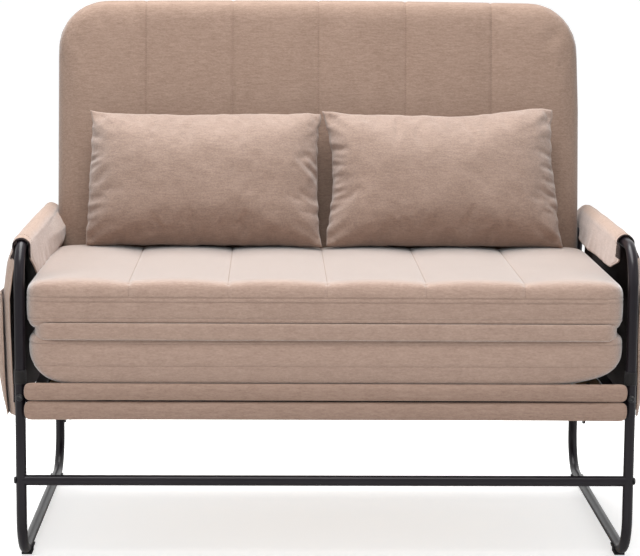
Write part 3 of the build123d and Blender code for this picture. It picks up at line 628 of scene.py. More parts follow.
band_low, band_high, band_half, band_corner = 0.4180, 0.4490, 0.4965, 0.026
band_right_end, band_set_back, band_tuck, band_wander = 0.985, 0.0002, 0.0024, 0.0007
band_rows = []
for level in np.linspace(0, 1, 13):
    height = band_low + (band_high - band_low) * level
    tucked = band_tuck * abs(2 * level - 1) ** 6
    row = []
    for share in np.linspace(-1, band_right_end, 201):
        along = share * (band_half + band_corner * pi / 2)
        wander = band_wander * noise.noise((along * 9, height * 20, 3))
        face_y = front_of_seat - band_set_back + wander + tucked
        past = max(0.0, abs(along) - band_half) / band_corner
        x = min(abs(along), band_half) + (band_corner - tucked) * sin(past)
        row.append((x if along > 0 else -x, face_y + band_corner * (1 - cos(past)), height))
    band_rows.append(row)
fold_band = cloth_from("fold_band", band_rows, 0.0016)
dress(fold_band, taupe_chenille)
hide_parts("fold_band_lower", "fold_band_upper")
width, length, area = cut_size(band_rows)
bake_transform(fold_band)

# Aprons: two long rolls of wadding in cover cloth, sewn closed along their backs. They are fixed one
# above the other across the front of the pull-out tray. The lower one sags a little.
# Painted shade: the aprons take the cover cloth made darker, standing in for the shade under the overhanging
# seat cushion.
shaded_apron_light, shaded_apron_dark = (0.365, 0.256, 0.203, 1), (0.262, 0.174, 0.134, 1)
shaded_apron_chenille = cover_cloth("taupe_chenille_apron_shaded", shaded_apron_light, shaded_apron_dark, 0.3, (0.42, 1, 1))
roll_corners, roll_rounding, wave_depth = (0.0125, 0.0125), 0.0062, 0.0009
for name, node, sag in (
    ("apron_roll_lower", "apron_lower", 0.0026),
    ("apron_roll_upper", "apron_upper", 0.0),
):
    low, high, middle, half = space_of(node)
    lying = (half.x - 0.001, half.z - 0.0008, half.y - 0.0008)
    roll = padded_block(name, lying, roll_corners, roll_rounding, roll_rounding)
    points = points_of(roll)
    back = points[:, 2] < -0.6 * half.y
    set_points(roll, np.column_stack([points[:, 0], -points[:, 2], points[:, 1]]) + np.array(middle))
    roll = stuff(roll, back, pressure=5.0, cap=0.0022)
    points = fit(points_of(roll), low - Vector((0, 0, sag)), high)
    front_share = np.clip((middle.y - points[:, 1]) / half.y, 0, 1)
    wave = np.array([noise.noise((x * 11, z * 30, 7)) for x, z in points[:, [0, 2]]])
    points[:, 1] += front_share * wave_depth * wave
    set_points(roll, points)
    dress(roll, shaded_apron_chenille)
    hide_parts(node)
    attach(roll, "tray")

# Backrest: one big foam pad with rounded top corners, stitched into six upright channels. It leans back
# on its hinge line. Inside are webbing straps on a tube, and a cloth panel closes the back.
lean = radians(8)
joints = frame["record"]["behaviour"]["joints"]
hinge = Vector(next(joint for joint in joints if joint["name"] == "backrest_recline")["pos_m"])
pad_below, pad_above, pad_half_depth, pad_half_width, swell_room = 0.035, 0.6263, 0.049, 0.525, 0.004
pad_corners, pad_rounding, pad_step, skin_step = (0.098, 0.034), 0.0335, 0.012, 0.009
pad_channel_depth, pad_valley_depth, pad_valley_half = 0.0035, 0.0016, 0.007
left_bulge, top_bulge, arch_rise, arch_fall, corner_draw = 0.008, 0.003, 0.0022, 0.0048, 0.0040
pad_size = (pad_half_width, (pad_above + pad_below) / 2, pad_half_depth)
pad_half = tuple(half_size - swell_room for half_size in pad_size)
pad_middle = (pad_above - pad_below) / 2


def on_the_lean(points):
    """Points of the upright pad (across, up, out to the front) laid on its leaning line."""
    across, up, out = points[:, 0], points[:, 1], points[:, 2]
    y = hinge.y + sin(lean) * up - cos(lean) * out
    z = hinge.z + cos(lean) * up + sin(lean) * out
    return np.column_stack([across, y, z])


back_seams = (-0.525, -0.355, -0.179, -0.006, 0.170, 0.344, 0.525)
backrest = padded_block("backrest_cushion", pad_half, pad_corners, pad_rounding, pad_step)
backrest = with_modifier(backrest, "REMESH", mode="VOXEL", voxel_size=skin_step)
points = points_of(backrest)
out_share = points[:, 2] / pad_half[2]
dip_channels(points, back_seams, out_share, pad_channel_depth)
set_points(backrest, points)
held = (near_seams(points, back_seams) & (out_share > 0.4)) | (out_share < 0.3)
backrest = stuff(backrest, held, pressure=2.0, cap=0.004)
points = fit(
    points_of(backrest),
    (-pad_half_width - left_bulge, -pad_below - pad_middle, -pad_half_depth),
    (pad_half_width, pad_above - pad_middle + top_bulge, pad_half_depth),
)
near_top = np.clip((points[:, 1] / pad_half[1] - 0.80) / 0.2, 0, 1)
points[:, 1] += near_top * (arch_rise - arch_fall * (points[:, 0] / pad_half_width) ** 2)
right_corner = np.clip((points[:, 0] - 0.38) / 0.12, 0, 1) * np.clip((points[:, 1] - 0.12) / 0.14, 0, 1)
points[:, 0] -= corner_draw * right_corner
set_points(backrest, points)


def back_front(place, normal):
    return normal.z > 0.1 or (normal.y > 0.6 and normal.z > -0.4)


valley = seam_rows(pad_valley_depth, 0.34, pad_valley_half)
sew(backrest, [((x, 0, 0), (1, 0, 0), back_front, valley) for x in back_seams[1:-1]])
set_points(backrest, on_the_lean(points_of(backrest) + np.array((0, pad_middle, 0))))
# Painted shade: the backrest and its rear cloth take the cover cloth made darker, to keep their leaning faces
# as dark as the cushions' fronts under the overhead lamp.
shaded_upright_light, shaded_upright_dark = (0.332, 0.236, 0.186, 1), (0.230, 0.156, 0.119, 1)
shaded_upright_chenille = cover_cloth(
    "taupe_chenille_upright_shaded", shaded_upright_light, shaded_upright_dark, 0.42, (0.5, 1, 1), (0.95, 0.98, 1.0, 1)
)
dress(backrest, shaded_upright_chenille)
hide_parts("backrest_pad")
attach(backrest, "backrest")

low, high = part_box("backrest_panel")
panel_half_width = (high.x - low.x) / 2
panel_low, panel_high, panel_half_depth, panel_rounding = 0.0065, 0.5960, 0.0021, 0.0018
panel_corners, panel_proud, panel_slack = (0.076, 0.024), 0.0016, 0.0012
panel_half = (panel_half_width, (panel_high - panel_low) / 2, panel_half_depth)
back_cloth = padded_block("backrest_rear_cloth", panel_half, panel_corners, panel_rounding, pad_step)
points = points_of(back_cloth)
points[:, 1] += (panel_high + panel_low) / 2
slack = np.array([noise.noise((x * 3.1, y * 3.7, 1)) for x, y in points[:, :2]])
edge_share = np.clip(1 - (points[:, 0] / panel_half_width) ** 6, 0, 1)
points[:, 2] += -pad_half_depth + panel_proud - panel_slack * edge_share * (0.6 + slack)
set_points(back_cloth, on_the_lean(points))
dress(back_cloth, shaded_upright_chenille)
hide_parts("backrest_panel")
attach(back_cloth, "backrest")

# Pillows: two oblong covers of the same cloth, each sewn round its edges over a loose filling. They lean
# on the backrest. Their edges pull in between the corners, and short creases run in from the seams.


def edge_curve(places, degree=4):
    """A smooth curve through chosen places on an edge."""
    along, out = np.array(places).T
    return np.polynomial.Polynomial.fit(along, out, degree)


def spread(count):
    """Shares from -1 to 1, a little closer together at the ends."""
    shares = np.linspace(-1, 1, count)
    return np.sign(shares) * np.abs(shares) ** 0.88


def pillow_cover(name, half_height, half_depth, left_end, right_end, top_edge, ears):
    """Two faces of cloth joined along one seam, plumped by a rule before the filling swells them.
    An ear is a corner that stands out a little further than the others."""
    columns, rows = spread(97), spread(57)
    left_end, right_end, top_edge = edge_curve(left_end), edge_curve(right_end), edge_curve(top_edge, 5)
    corner_start, corner_cut, waver_depth, ear_size = 1.33, 0.022, 0.0011, 0.13
    seam_ease, wide_gather, tight_gather = 1.008, 0.0028, 0.0012
    points, quads, index = [], [], {}

    def key_of(face, i, j):
        on_seam = i in (0, len(rows) - 1) or j in (0, len(columns) - 1)
        return (0 if on_seam else face, i, j)

    for face in (1, -1):
        for i, v in enumerate(rows):
            for j, u in enumerate(columns):
                key = key_of(face, i, j)
                if key in index:
                    continue
                index[key] = len(points)
                x = (left_end(v) * (1 - u) + right_end(v) * (1 + u)) / 2 * seam_ease
                y = half_height * v + top_edge(u) * (1 + v) / 2
                corner = max(0.0, hypot(abs(u), abs(v)) - corner_start) * corner_cut
                waver = waver_depth * noise.noise((u * 7, v * 5, x * 3)) * max(abs(u), abs(v)) ** 8
                wide, tight = noise.noise((v * 8.5, x * 4, 2)), noise.noise((v * 24, x * 4, 5))
                gather = (wide_gather * wide + tight_gather * tight) * abs(u) ** 10
                x, y = x - np.sign(u) * (corner + waver + gather), y - np.sign(v) * (corner + waver)
                for ear_u, ear_v, reach in ears:
                    pulled = reach * max(0.0, 1 - hypot(u - ear_u, (v - ear_v) * 0.6) / ear_size) ** 1.4
                    x, y = x + ear_u * pulled, y + ear_v * pulled
                fullest = v + 0.10 * (1 - v * v)
                plump = max(0.0, (1 - abs(u) ** 5.0) * (1 - abs(fullest) ** 3.0)) ** 0.55
                points.append((x, y, face * half_depth * plump if key[0] else 0.0))
        for i in range(len(rows) - 1):
            for j in range(len(columns) - 1):
                quad = [index[key_of(face, i + di, j + dj)] for di, dj in ((0, 0), (0, 1), (1, 1), (1, 0))]
                quads.append(quad if face > 0 else quad[::-1])
    return stand(name, plain_mesh(name, [tuple(map(float, p)) for p in points], faces=quads))


def crease(points, start, end, depth, half_width):
    """Presses a crease into both faces, with a low ridge along each side of it. It is deepest near its
    start, on the seam, and fades towards its end."""
    start, end = np.array(start), np.array(end)
    line = end - start
    along = np.clip(((points[:, :2] - start) @ line) / (line @ line), 0, 1)
    gap = points[:, :2] - start - along[:, None] * line
    away = np.linalg.norm(gap, axis=1) / half_width
    beside, beside_share, rim_depth = 1.9, 0.40, 0.012
    ridge = beside_share * np.exp(-((away - beside) ** 2) * 1.6)
    press = depth * (1 - along) ** 1.1 * (np.exp(-away ** 2) - ridge)
    body = np.clip(np.abs(points[:, 2]) / rim_depth, 0, 1) * np.sign(points[:, 2])
    creased = points.copy()
    creased[:, 2] -= press * body
    return creased


# Each pillow's left end, right end and top edge, as places along the edge and how far out it runs there,
# and then its ears.
pillow_ends = {
    "left": (
        ((-1, -0.2335), (-0.8, -0.2321), (-0.3, -0.2285), (0.2, -0.2258), (0.6, -0.2228), (1, -0.2245)),
        (
            (-1, 0.2325), (-0.8, 0.2292), (-0.4, 0.2255),
            (0.1, 0.2244), (0.5, 0.2255), (0.8, 0.2290), (1, 0.2325),
        ),
        (
            (-1, 0.0045), (-0.9, 0.0005), (-0.5, 0.0), (-0.25, -0.0018),
            (0.1, -0.0012), (0.5, 0.0018), (0.9, 0.0), (1, 0.0022),
        ),
        ((-1, 1, 0.0065), (1, -1, 0.0045)),
    ),
    "right": (
        (
            (-1, -0.2248), (-0.8, -0.2222), (-0.4, -0.2162),
            (0.1, -0.2138), (0.5, -0.2170), (0.8, -0.2258), (1, -0.2302),
        ),
        (
            (-1, 0.2446), (-0.8, 0.2396), (-0.5, 0.2347), (-0.2, 0.2310),
            (0.1, 0.2267), (0.5, 0.2236), (0.8, 0.2255), (1, 0.2307),
        ),
        (
            (-1, 0.0050), (-0.9, 0.0028), (-0.6, 0.0010), (-0.2, -0.0010), (0, -0.0018),
            (0.3, 0.0015), (0.6, 0.0072), (0.85, 0.0150), (1, 0.0135),
        ),
        ((1, -1, 0.0040), (-1, 1, 0.0030)),
    ),
}
# Each crease from its start on the seam to its end, in metres across and up the pillow, with its depth
# and half its width.
pillow_creases = {
    "left": (
        (-0.228, 0.034, -0.196, 0.042, 0.0075, 0.0045), (-0.224, 0.085, -0.190, 0.070, 0.0035, 0.0060),
        (-0.228, -0.070, -0.185, -0.060, 0.0035, 0.0065), (0.226, 0.000, 0.178, 0.045, 0.0085, 0.0060),
        (0.226, 0.026, 0.186, 0.052, 0.0050, 0.0060), (0.226, -0.045, 0.196, -0.030, 0.0035, 0.0060),
        (0.226, 0.090, 0.196, 0.078, 0.0030, 0.0060), (-0.215, 0.128, -0.170, 0.090, 0.0030, 0.0070),
        (0.223, -0.120, 0.175, -0.085, 0.0040, 0.0080), (-0.223, -0.120, -0.170, -0.085, 0.0035, 0.0080),
        (-0.165, -0.128, -0.155, -0.095, 0.0030, 0.0080), (0.130, -0.128, 0.122, -0.085, 0.0040, 0.0070),
        (-0.090, -0.128, -0.080, -0.100, 0.0025, 0.0100), (0.055, -0.128, 0.040, -0.100, 0.0030, 0.0120),
        (-0.120, -0.128, 0.070, -0.112, 0.0022, 0.0050),
    ),
    "right": (
        (-0.216, 0.062, -0.178, 0.052, 0.0045, 0.0050), (-0.214, 0.030, -0.180, 0.022, 0.0055, 0.0045),
        (-0.214, 0.004, -0.184, 0.004, 0.0045, 0.0045), (-0.215, -0.030, -0.182, -0.024, 0.0055, 0.0045),
        (-0.217, -0.062, -0.184, -0.050, 0.0050, 0.0050), (0.226, 0.045, 0.198, 0.052, 0.0045, 0.0045),
        (0.227, 0.020, 0.192, 0.026, 0.0055, 0.0045), (0.230, -0.008, 0.196, 0.000, 0.0055, 0.0045),
        (0.232, -0.036, 0.198, -0.026, 0.0055, 0.0045), (0.235, -0.062, 0.205, -0.048, 0.0050, 0.0045),
        (0.224, 0.126, 0.170, 0.085, 0.0035, 0.0080), (-0.218, 0.126, -0.175, 0.085, 0.0035, 0.0070),
        (0.223, -0.122, 0.160, -0.078, 0.0045, 0.0080), (-0.223, -0.120, -0.165, -0.085, 0.0040, 0.0080),
        (-0.110, -0.128, -0.112, -0.098, 0.0035, 0.0080), (0.120, -0.128, 0.108, -0.085, 0.0040, 0.0070),
        (0.020, -0.128, 0.010, -0.102, 0.0028, 0.0100),
    ),
}
pillow_lean, pillow_half_height, pillow_half_depth, pillow_fullness = radians(14), 0.134, 0.0555, 0.063
pillow_sink, lump_height, ripple_height = 0.0020, 0.0024, 0.0009
# Painted shade: the pillows take the cover cloth made darker, like the backrest.
shaded_pillow_light, shaded_pillow_dark = (0.322, 0.221, 0.169, 1), (0.219, 0.141, 0.104, 1)
shaded_pillow_chenille = cover_cloth(
    "taupe_chenille_pillow_shaded", shaded_pillow_light, shaded_pillow_dark, 0.33, (0.7, 1, 1), (0.96, 0.98, 1.0, 1), 0.74, 1.5
)
for side, sign in (("left", -1), ("right", 1)):
    middle = space_of("pillow_" + side)[2]
    cover = pillow_cover("pillow_cover_" + side, pillow_half_height, pillow_half_depth, *pillow_ends[side])
    on_the_seam = np.abs(points_of(cover)[:, 2]) < 1e-6
    cover = stuff(cover, on_the_seam, pressure=4.5, cap=0.012, slack=0.02)
    points = points_of(cover)
    points[:, 2] *= pillow_fullness / np.abs(points[:, 2]).max()
    for from_x, from_y, to_x, to_y, depth, half_width in pillow_creases[side]:
        points = crease(points, (from_x, from_y), (to_x, to_y), depth, half_width)
    set_points(cover, points)
    lumps = np.array([noise.noise((x * 16 + 5 * sign, y * 16, z * 16)) for x, y, z in points])
    ripples = np.array([noise.noise((x * 48, y * 48 + 9 * sign, z * 48)) for x, y, z in points])
    outward = rows_of(cover.data.vertex_normals, "vector")
    points = points + outward * (lump_height * lumps + ripple_height * ripples)[:, None]
    x = points[:, 0] + middle.x
    y = middle.y + sin(pillow_lean) * points[:, 1] - cos(pillow_lean) * points[:, 2]
    z = middle.z + cos(pillow_lean) * points[:, 1] + sin(pillow_lean) * points[:, 2]
    set_points(cover, np.column_stack([x, y, np.maximum(z, top_of_seat - pillow_sink)]))
    dress(cover, shaded_pillow_chenille)
    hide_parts("pillow_" + side)
    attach(cover, "pillow_" + side)

# Arm covers: one lined cloth a side, laid over the arm tube. Its short flap hangs inside, above the seat,
# and its long panel hangs outside down to the rail, its front edge turned in towards the post. The lining
# inside is dark, painted near black as painted shade inside the cover, and a black binding closes the
# sleeve where the tube comes out.
front_post_y, rear_post_y, post_x, arm_height = -0.3693, 0.3807, 0.550, 0.583
arm_bend, rear_arm_bend, cover_thickness, pocket_thickness = 0.065, 0.150, 0.0030, 0.0022
hem_lift, bag_hem_lift = 0.0016, 0.0012
lining_top, lining_from, binding_width, binding_low = 0.578, 0.552, 0.0042, 0.556
right_panel_reach, right_panel_flare, right_panel_start = 0.5618, 0.16, 0.010
# Painted light: the arm covers and pockets take the cover cloth made lighter, for the light on the arms' tops
# and flaps.
lit_cover_light, lit_cover_dark = (0.422, 0.298, 0.232, 1), (0.308, 0.206, 0.152, 1)
lit_cover_chenille = cover_cloth(
    "taupe_chenille_cover_lit", lit_cover_light, lit_cover_dark, 0.40, (1, 0.5, 1), (0.98, 0.98, 1.0, 1), 0.56, 1.4
)
lining_shade_cloth, start, shader = finish("black_lining_painted_shade", {"Specular IOR Level": 0.15, "Roughness": 0.95})
weave = grain(start, 900, 2.0)
blend_of(start, weave, (0.016, 0.011, 0.011, 1), (0.040, 0.028, 0.027, 1)).into(shader, "Base Color")
relief(start, shader, weave, 0.4, 0.0003)


def arm_line(y):
    """The height of the arm tube's own line at a distance from front to back, bends included."""
    bend = arm_bend if y < 0 else rear_arm_bend
    into_bend = min(bend, max(0.0, front_post_y + bend - y, y - rear_post_y + bend))
    return arm_height - bend + sqrt(bend ** 2 - into_bend ** 2)


def smooth(share):
    """An even rise from 0 to 1, level at both ends."""
    share = min(1.0, max(0.0, share))
    return share * share * (3 - 2 * share)


def along_table(value, table):
    """The value between the rows of a table of pairs."""
    places, values = zip(*table)
    return float(np.interp(value, places, values))


# The panel's profile is height and reach. The flap's tables go by its share, from the arm down to its
# foot, or along the cover for the foot itself. The panel's ends go by height.
panel_profile = ((0.271, 0.5735), (0.430, 0.5785), (0.500, 0.5805), (0.550, 0.5750), (0.583, 0.5638))
flap_edges = {
    "left": {
        "start": ((0, 0.040), (0.12, 0.030), (0.35, 0.050), (0.8, 0.140), (1, 0.178)),
        "end": ((0, 0.690), (0.15, 0.640), (0.4, 0.570), (0.8, 0.520), (1, 0.500)),
        "foot": ((0, 0.500), (0.14, 0.508), (0.8, 0.512), (1, 0.522)),
        "curl": ((0, 0.0), (0.15, 0.010), (0.4, 0.017), (0.8, 0.014), (1, 0.008)),
    },
    "right": {
        "start": ((0, 0.098), (0.1, 0.070), (0.5, 0.064), (0.62, 0.075), (1, 0.165)),
        "end": ((0, 0.690), (0.2, 0.640), (0.6, 0.610), (1, 0.560)),
        "foot": ((0, 0.528), (0.3, 0.526), (0.85, 0.526), (1, 0.534)),
        "curl": ((0, 0.0), (0.3, 0.004), (1, 0.004)),
    },
}
panel_front = {
    "left": ((0.271, 0.012), (0.500, 0.010), (0.560, 0.026), (0.583, 0.040)),
    "right": ((0.271, 0.012), (0.480, 0.012), (0.545, 0.045), (0.583, 0.098)),
}
panel_rear = ((0.271, 0.738), (0.480, 0.740), (0.540, 0.728), (0.583, 0.690))
cover_spans = [np.linspace(0, 0.06, 9)[:-1], np.linspace(0.06, 0.94, 49), np.linspace(0.94, 1, 9)[1:]]
along_cover = np.concatenate(cover_spans)
stitched_lines = {"frame": [], "seat_fold": [], "backrest": []}


def hems(rows, picks, sign, lift):
    """Lines of a cloth's rows and columns, lifted on to its outer face, whose last row faces outwards."""
    down, along = np.gradient(rows, axis=0), np.gradient(rows, axis=1)
    normals = np.cross(down, along)
    normals /= np.linalg.norm(normals, axis=2, keepdims=True)
    if normals[-1, rows.shape[1] // 2, 0] * sign < 0:
        normals = -normals
    return [(rows + lift * normals)[pick] for pick in picks]


def panel_reach(side, y, height):
    """How far out the panel hangs. The right one is drawn in close to its front post."""
    reach = along_table(height, panel_profile)
    if side == "left":
        return reach
    behind_post = max(0.0, y - front_post_y - right_panel_start)
    return min(reach, right_panel_reach + right_panel_flare * behind_post)


def panel_sway(y, z, seed):
    """How far the hanging panel wavers out of its plane."""
    return 0.0030 * noise.noise((y * 4.3, z * 5.1, seed)) + 0.0012 * noise.noise((y * 17, z * 13, seed))


def flap_rows(side, sign, seed):
    """The short flap, from its foot up to the arm tube. It hangs in waves and curls in at its rear."""
    edges, rows = flap_edges[side], []
    flap_hang, flap_spread, broad_wave, fine_wave = 0.5352, 0.0034, 0.0042, 0.0021
    for share in np.linspace(1, 0.04, 17):
        start, end = (front_post_y + along_table(share, edges[limit]) for limit in ("start", "end"))
        row = []
        for t in along_cover:
            y = start + (end - start) * t
            top = arm_line(y)
            z = top - (top - along_table(t, edges["foot"])) * share
            waver = broad_wave * share * noise.noise((y * 9 + z * 5, z * 12, seed))
            waver += fine_wave * share * noise.noise((y * 38 + z * 22, z * 20, seed))
            curl = along_table(share, edges["curl"]) * smooth((t - 0.45) / 0.55)
            row.append((sign * (flap_hang - flap_spread * share + waver - curl), y, z))
        rows.append(row)
    return rows


def sleeve_rows(sign, seed, sleeve_start, sleeve_end):
    """The cloth over the arm tube, from its inside over the top to its outside."""
    sleeve, rows = 0.0119, []
    for angle in np.linspace(0, pi, 13):
        row = []
        for t in along_cover:
            y = sleeve_start + (sleeve_end - sleeve_start) * t
            slack = 0.0012 * noise.noise((y * 14, angle * 1.4, seed))
            rest = 0.0010 + slack + 0.0016 * sin(pi * t) * sin(angle)
            x = post_x - cos(angle) * (sleeve + rest + 0.0020 * abs(cos(angle)))
            row.append((sign * x, y, arm_line(y) + (sleeve + rest) * sin(angle)))
        rows.append(row)
    return rows


def panel_rows(side, sign, seed):
    """The long panel, from the arm tube down to its foot. It hangs lower behind, and its ends turn in."""
    foot_wave, foot_drop, turn_depth, front_turn, rear_turn = 0.0022, 0.0285, 0.0125, 0.026, 0.020
    rows = []
    for height in np.linspace(0.577, 0.271, 52):
        start = front_post_y + along_table(height, panel_front[side])
        end = front_post_y + along_table(height, panel_rear)
        row = []
        for t in along_cover:
            y = start + (end - start) * t
            z = height - (arm_height - arm_line(y)) * smooth((height - 0.43) / 0.15)
            z += foot_wave * sin(y * 7 + 2 * sign) * smooth((0.33 - height) / 0.06)
            z -= foot_drop * smooth((y - front_post_y) / 0.62) * smooth((0.36 - height) / 0.09)
            at_front, at_rear = (front_turn - (y - start)) / front_turn, (rear_turn - (end - y)) / rear_turn
            turned_in = turn_depth * (smooth(at_front) + smooth(at_rear)) * smooth((0.585 - height) / 0.03)
            sway = panel_sway(y, height, seed) * smooth((0.575 - height) / 0.10)
            row.append((sign * (panel_reach(side, y, height) + sway - turned_in), y, z))
        rows.append(row)
    return rows


for side, sign in (("left", -1), ("right", 1)):
    seed = 20 + sign
    sleeve_start, sleeve_end = (front_post_y + flap_edges[side][limit][0][1] for limit in ("start", "end"))
    rows = flap_rows(side, sign, seed) + sleeve_rows(sign, seed, sleeve_start, sleeve_end)
    rows = np.array(rows + panel_rows(side, sign, seed))
    cover = cloth_from("arm_cover_" + side, rows, cover_thickness)
    dress(cover, lit_cover_chenille)
    cover.data.materials.append(lining_shade_cloth)
    # The faces inside the cover and the binding take the near-black lining. Inside the panel this dark is
    # partly painted shade, for the shade between the panel, the tube and the cushion.
    for face in cover.data.polygons:
        x, y, z = face.center
        inside = z < lining_top and abs(x) > lining_from and face.normal.x * sign < -0.25
        if inside or (y < sleeve_start + binding_width and z > binding_low):
            face.material_index = 1
    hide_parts("arm_sleeve_" + side, "inner_flap_" + side, "outer_panel_" + side)
    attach(cover, "frame")
    width, length, area = cut_size(rows)
    stitched_lines["frame"] += hems(rows, (np.s_[1], np.s_[:, 5], np.s_[:, -6], np.s_[-2]), sign, hem_lift)

    # Side pocket: a bag of the same cloth sewn on the panel along its ends and foot, open at the top and
    # swollen in the middle, with a folded hem along its mouth.
    bag_front, bag_rear, bag_sag, bag_hem, bag_gap = 0.024, 0.430, 0.004, 0.0007, 0.0031
    bag_ends = np.linspace(0, 0.045, 8)
    bag_shares = np.concatenate([bag_ends[:-1], np.linspace(0.045, 0.955, 37), 1 - bag_ends[-2::-1]])
    bag_bulge = (
        (0.272, 0.0012), (0.300, 0.0065), (0.340, 0.0105), (0.390, 0.0120), (0.440, 0.0100), (0.497, 0.0045),
    )
    bag = []
    for height in np.concatenate([np.linspace(0.4970, 0.4800, 6)[:-1], np.linspace(0.4800, 0.2720, 31)]):
        row = []
        for t in bag_shares:
            y = front_post_y + bag_front + (bag_rear - bag_front) * t
            ends = sin(pi * min(0.5, min(t, 1 - t) / 0.09))
            sag = bag_sag * sin(pi * t) * smooth((height - 0.40) / 0.10)
            fold = 0.0016 * noise.noise((y * 14, height * 9, seed + 5)) * ends
            hem = bag_hem * smooth((height - 0.4795) / 0.002)
            gap = bag_gap + (along_table(height, bag_bulge) + fold) * ends + hem
            out = panel_reach(side, y, height) + panel_sway(y, height, seed) + gap
            row.append((sign * out, y, height - sag))
        bag.append(row)
    bag = np.array(bag)
    pocket = cloth_from("pocket_" + side, bag, pocket_thickness)
    dress(pocket, lit_cover_chenille)
    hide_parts("side_pocket_" + side)
    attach(pocket, "frame")
    width, length, area = cut_size(bag)
    bag_lines = (np.s_[1], np.s_[4], np.s_[:, 1], np.s_[:, -2], np.s_[-2])
    stitched_lines["frame"] += hems(bag, bag_lines, sign, bag_hem_lift)

# Straps: short bands of woven tape sewn round the four posts. They hold the lower corners of the arm
# covers to the frame.
strap_webbing, start, shader = finish("woven_tape", {"Specular IOR Level": 0.2, "Sheen Weight": 0.15})
place = start.node("ShaderNodeTexCoord", {}, {}, "Object")
wave = {"Vector": place, "Scale": 260.0, "Distortion": 0.6, "Detail": 1.0}
ribs = start.node("ShaderNodeTexWave", {"bands_direction": "Z"}, wave, "Fac")
blend_of(start, ribs, (0.006, 0.005, 0.005, 1), (0.018, 0.016, 0.016, 1)).into(shader, "Base Color")
(0.9 - ribs * 0.2).into(shader, "Roughness")
relief(start, shader, ribs, 0.6, 0.0005)
low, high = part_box("panel_straps")
tape_radius, tape_edge, tape_fold, tape_thickness = 0.01065, 0.0006, 0.0004, 0.0013
around, levels = 40, 7
heights = np.linspace(low.z + tape_edge, high.z - tape_edge, levels)
strap_points, strap_quads = [], []
for sign_x in (-1, 1):
    for post_y in (front_post_y, rear_post_y):
        first = len(strap_points)
        for level, height in enumerate(heights):
            for step in range(around):
                angle = 2 * pi * step / around
                folded = tape_fold if level in (0, levels - 1) else 0.0
                reach = tape_radius - folded + 0.0003 * sin(3 * angle + post_y)
                x, y = sign_x * post_x + reach * cos(angle), post_y + reach * sin(angle)
                strap_points.append((x, y, height))
        for level in range(levels - 1):
            for step in range(around):
                a, b = (first + level * around + place for place in (step, (step + 1) % around))
                strap_quads.append((a, b, b + around, a + around))
tapes = stand("panel_tapes", plain_mesh("panel_tapes", strap_points, faces=strap_quads))
tapes = with_modifier(tapes, "SOLIDIFY", thickness=tape_thickness, offset=0.0)
dress(tapes, strap_webbing)
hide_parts("panel_straps")
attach(tapes, "frame")

# Webbing: five straps of elastic tape, stretched side to side across the backrest's tube and sewn round
# it. They carry the foam of the backrest.


def built(name, tree, inputs, base=None):
    """The plain mesh that a Geometry Nodes tree makes. Its inputs are set by their own identifiers."""
    holder = stand(name, base if base is not None else bpy.data.meshes.new(name))
    nodes = holder.modifiers.new("build", "NODES")
    nodes.node_group = tree
    for item in tree.interface.items_tree:
        if item.item_type == "SOCKET" and item.in_out == "INPUT" and item.name in inputs:
            nodes[item.identifier] = inputs[item.name]
    holder.update_tag()
    shown = holder.evaluated_get(bpy.context.evaluated_depsgraph_get())
    mesh = bpy.data.meshes.new_from_object(shown)
    holder.modifiers.clear()
    bpy.data.objects.remove(holder)
    return stand(name, mesh)


def tree_with(name, **sockets):
    """A Geometry Nodes tree with its named inputs, and the threads that start from them."""
    tree = bpy.data.node_groups.new(name, "GeometryNodeTree")
    tree.interface.new_socket("Geometry", in_out="OUTPUT", socket_type="NodeSocketGeometry")
    for socket, kind in sockets.items():
        tree.interface.new_socket(socket, in_out="INPUT", socket_type="NodeSocket" + kind)
    given = tree.nodes.new("NodeGroupInput")
    return tree, Thread(tree), {socket: Thread(tree, given.outputs[socket]) for socket in sockets}


def xyz(start, x, y, z):
    return start.node("ShaderNodeCombineXYZ", {}, {0: x, 1: y, 2: z})


def moved(start, geometry, **change):
    """Geometry moved, turned or scaled within a tree."""
    return start.node("GeometryNodeTransform", {}, {"Geometry": geometry, **change})


def finish_tree(start, geometry, made):
    """Ends a tree: instances made real, one finish set, and out."""
    real = start.node("GeometryNodeRealizeInstances", {}, {0: geometry})
    painted = start.node("GeometryNodeSetMaterial", {}, {"Geometry": real, "Material": made})
    painted.into(start.tree.nodes.new("NodeGroupOutput"), "Geometry")


tree, start, given = tree_with(
    "webbing_straps",
    Count="Int", Pitch="Float", Length="Float", Width="Float", Thickness="Float",
    First="Vector", Lean="Vector",
)
size = xyz(start, given["Length"], given["Width"], given["Thickness"])
cuts = {"Size": size, "Vertices X": 60, "Vertices Y": 6, "Vertices Z": 2}
strap = start.node("GeometryNodeMeshCube", {}, cuts, "Mesh")
pitch = xyz(start, 0.0, given["Pitch"], 0.0)
spots = start.node("GeometryNodeMeshLine", {"mode": "OFFSET"}, {"Count": given["Count"], "Offset": pitch})
laid = start.node("GeometryNodeInstanceOnPoints", {}, {"Points": spots, "Instance": strap})
finish_tree(start, moved(start, laid, Translation=given["First"], Rotation=given["Lean"]), strap_webbing)
webbing_low, webbing_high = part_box("backrest_webbing")
strap_length, strap_width, strap_thickness = webbing_high.x - webbing_low.x, 0.050, 0.0019
strap_count, strap_above = 5, 0.014
strap_pitch = ((webbing_high.z - webbing_low.z) / cos(lean) - strap_width) / (strap_count - 1)
first_up = strap_above + strap_width / 2
webbing = built(
    "backrest_straps",
    tree,
    {
        "Count": strap_count, "Pitch": strap_pitch,
        "Length": strap_length, "Width": strap_width, "Thickness": strap_thickness,
        "First": (0, hinge.y + sin(lean) * first_up, hinge.z + cos(lean) * first_up),
        "Lean": (pi / 2 - lean, 0, 0),
    },
)
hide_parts("backrest_webbing")
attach(webbing, "backrest")

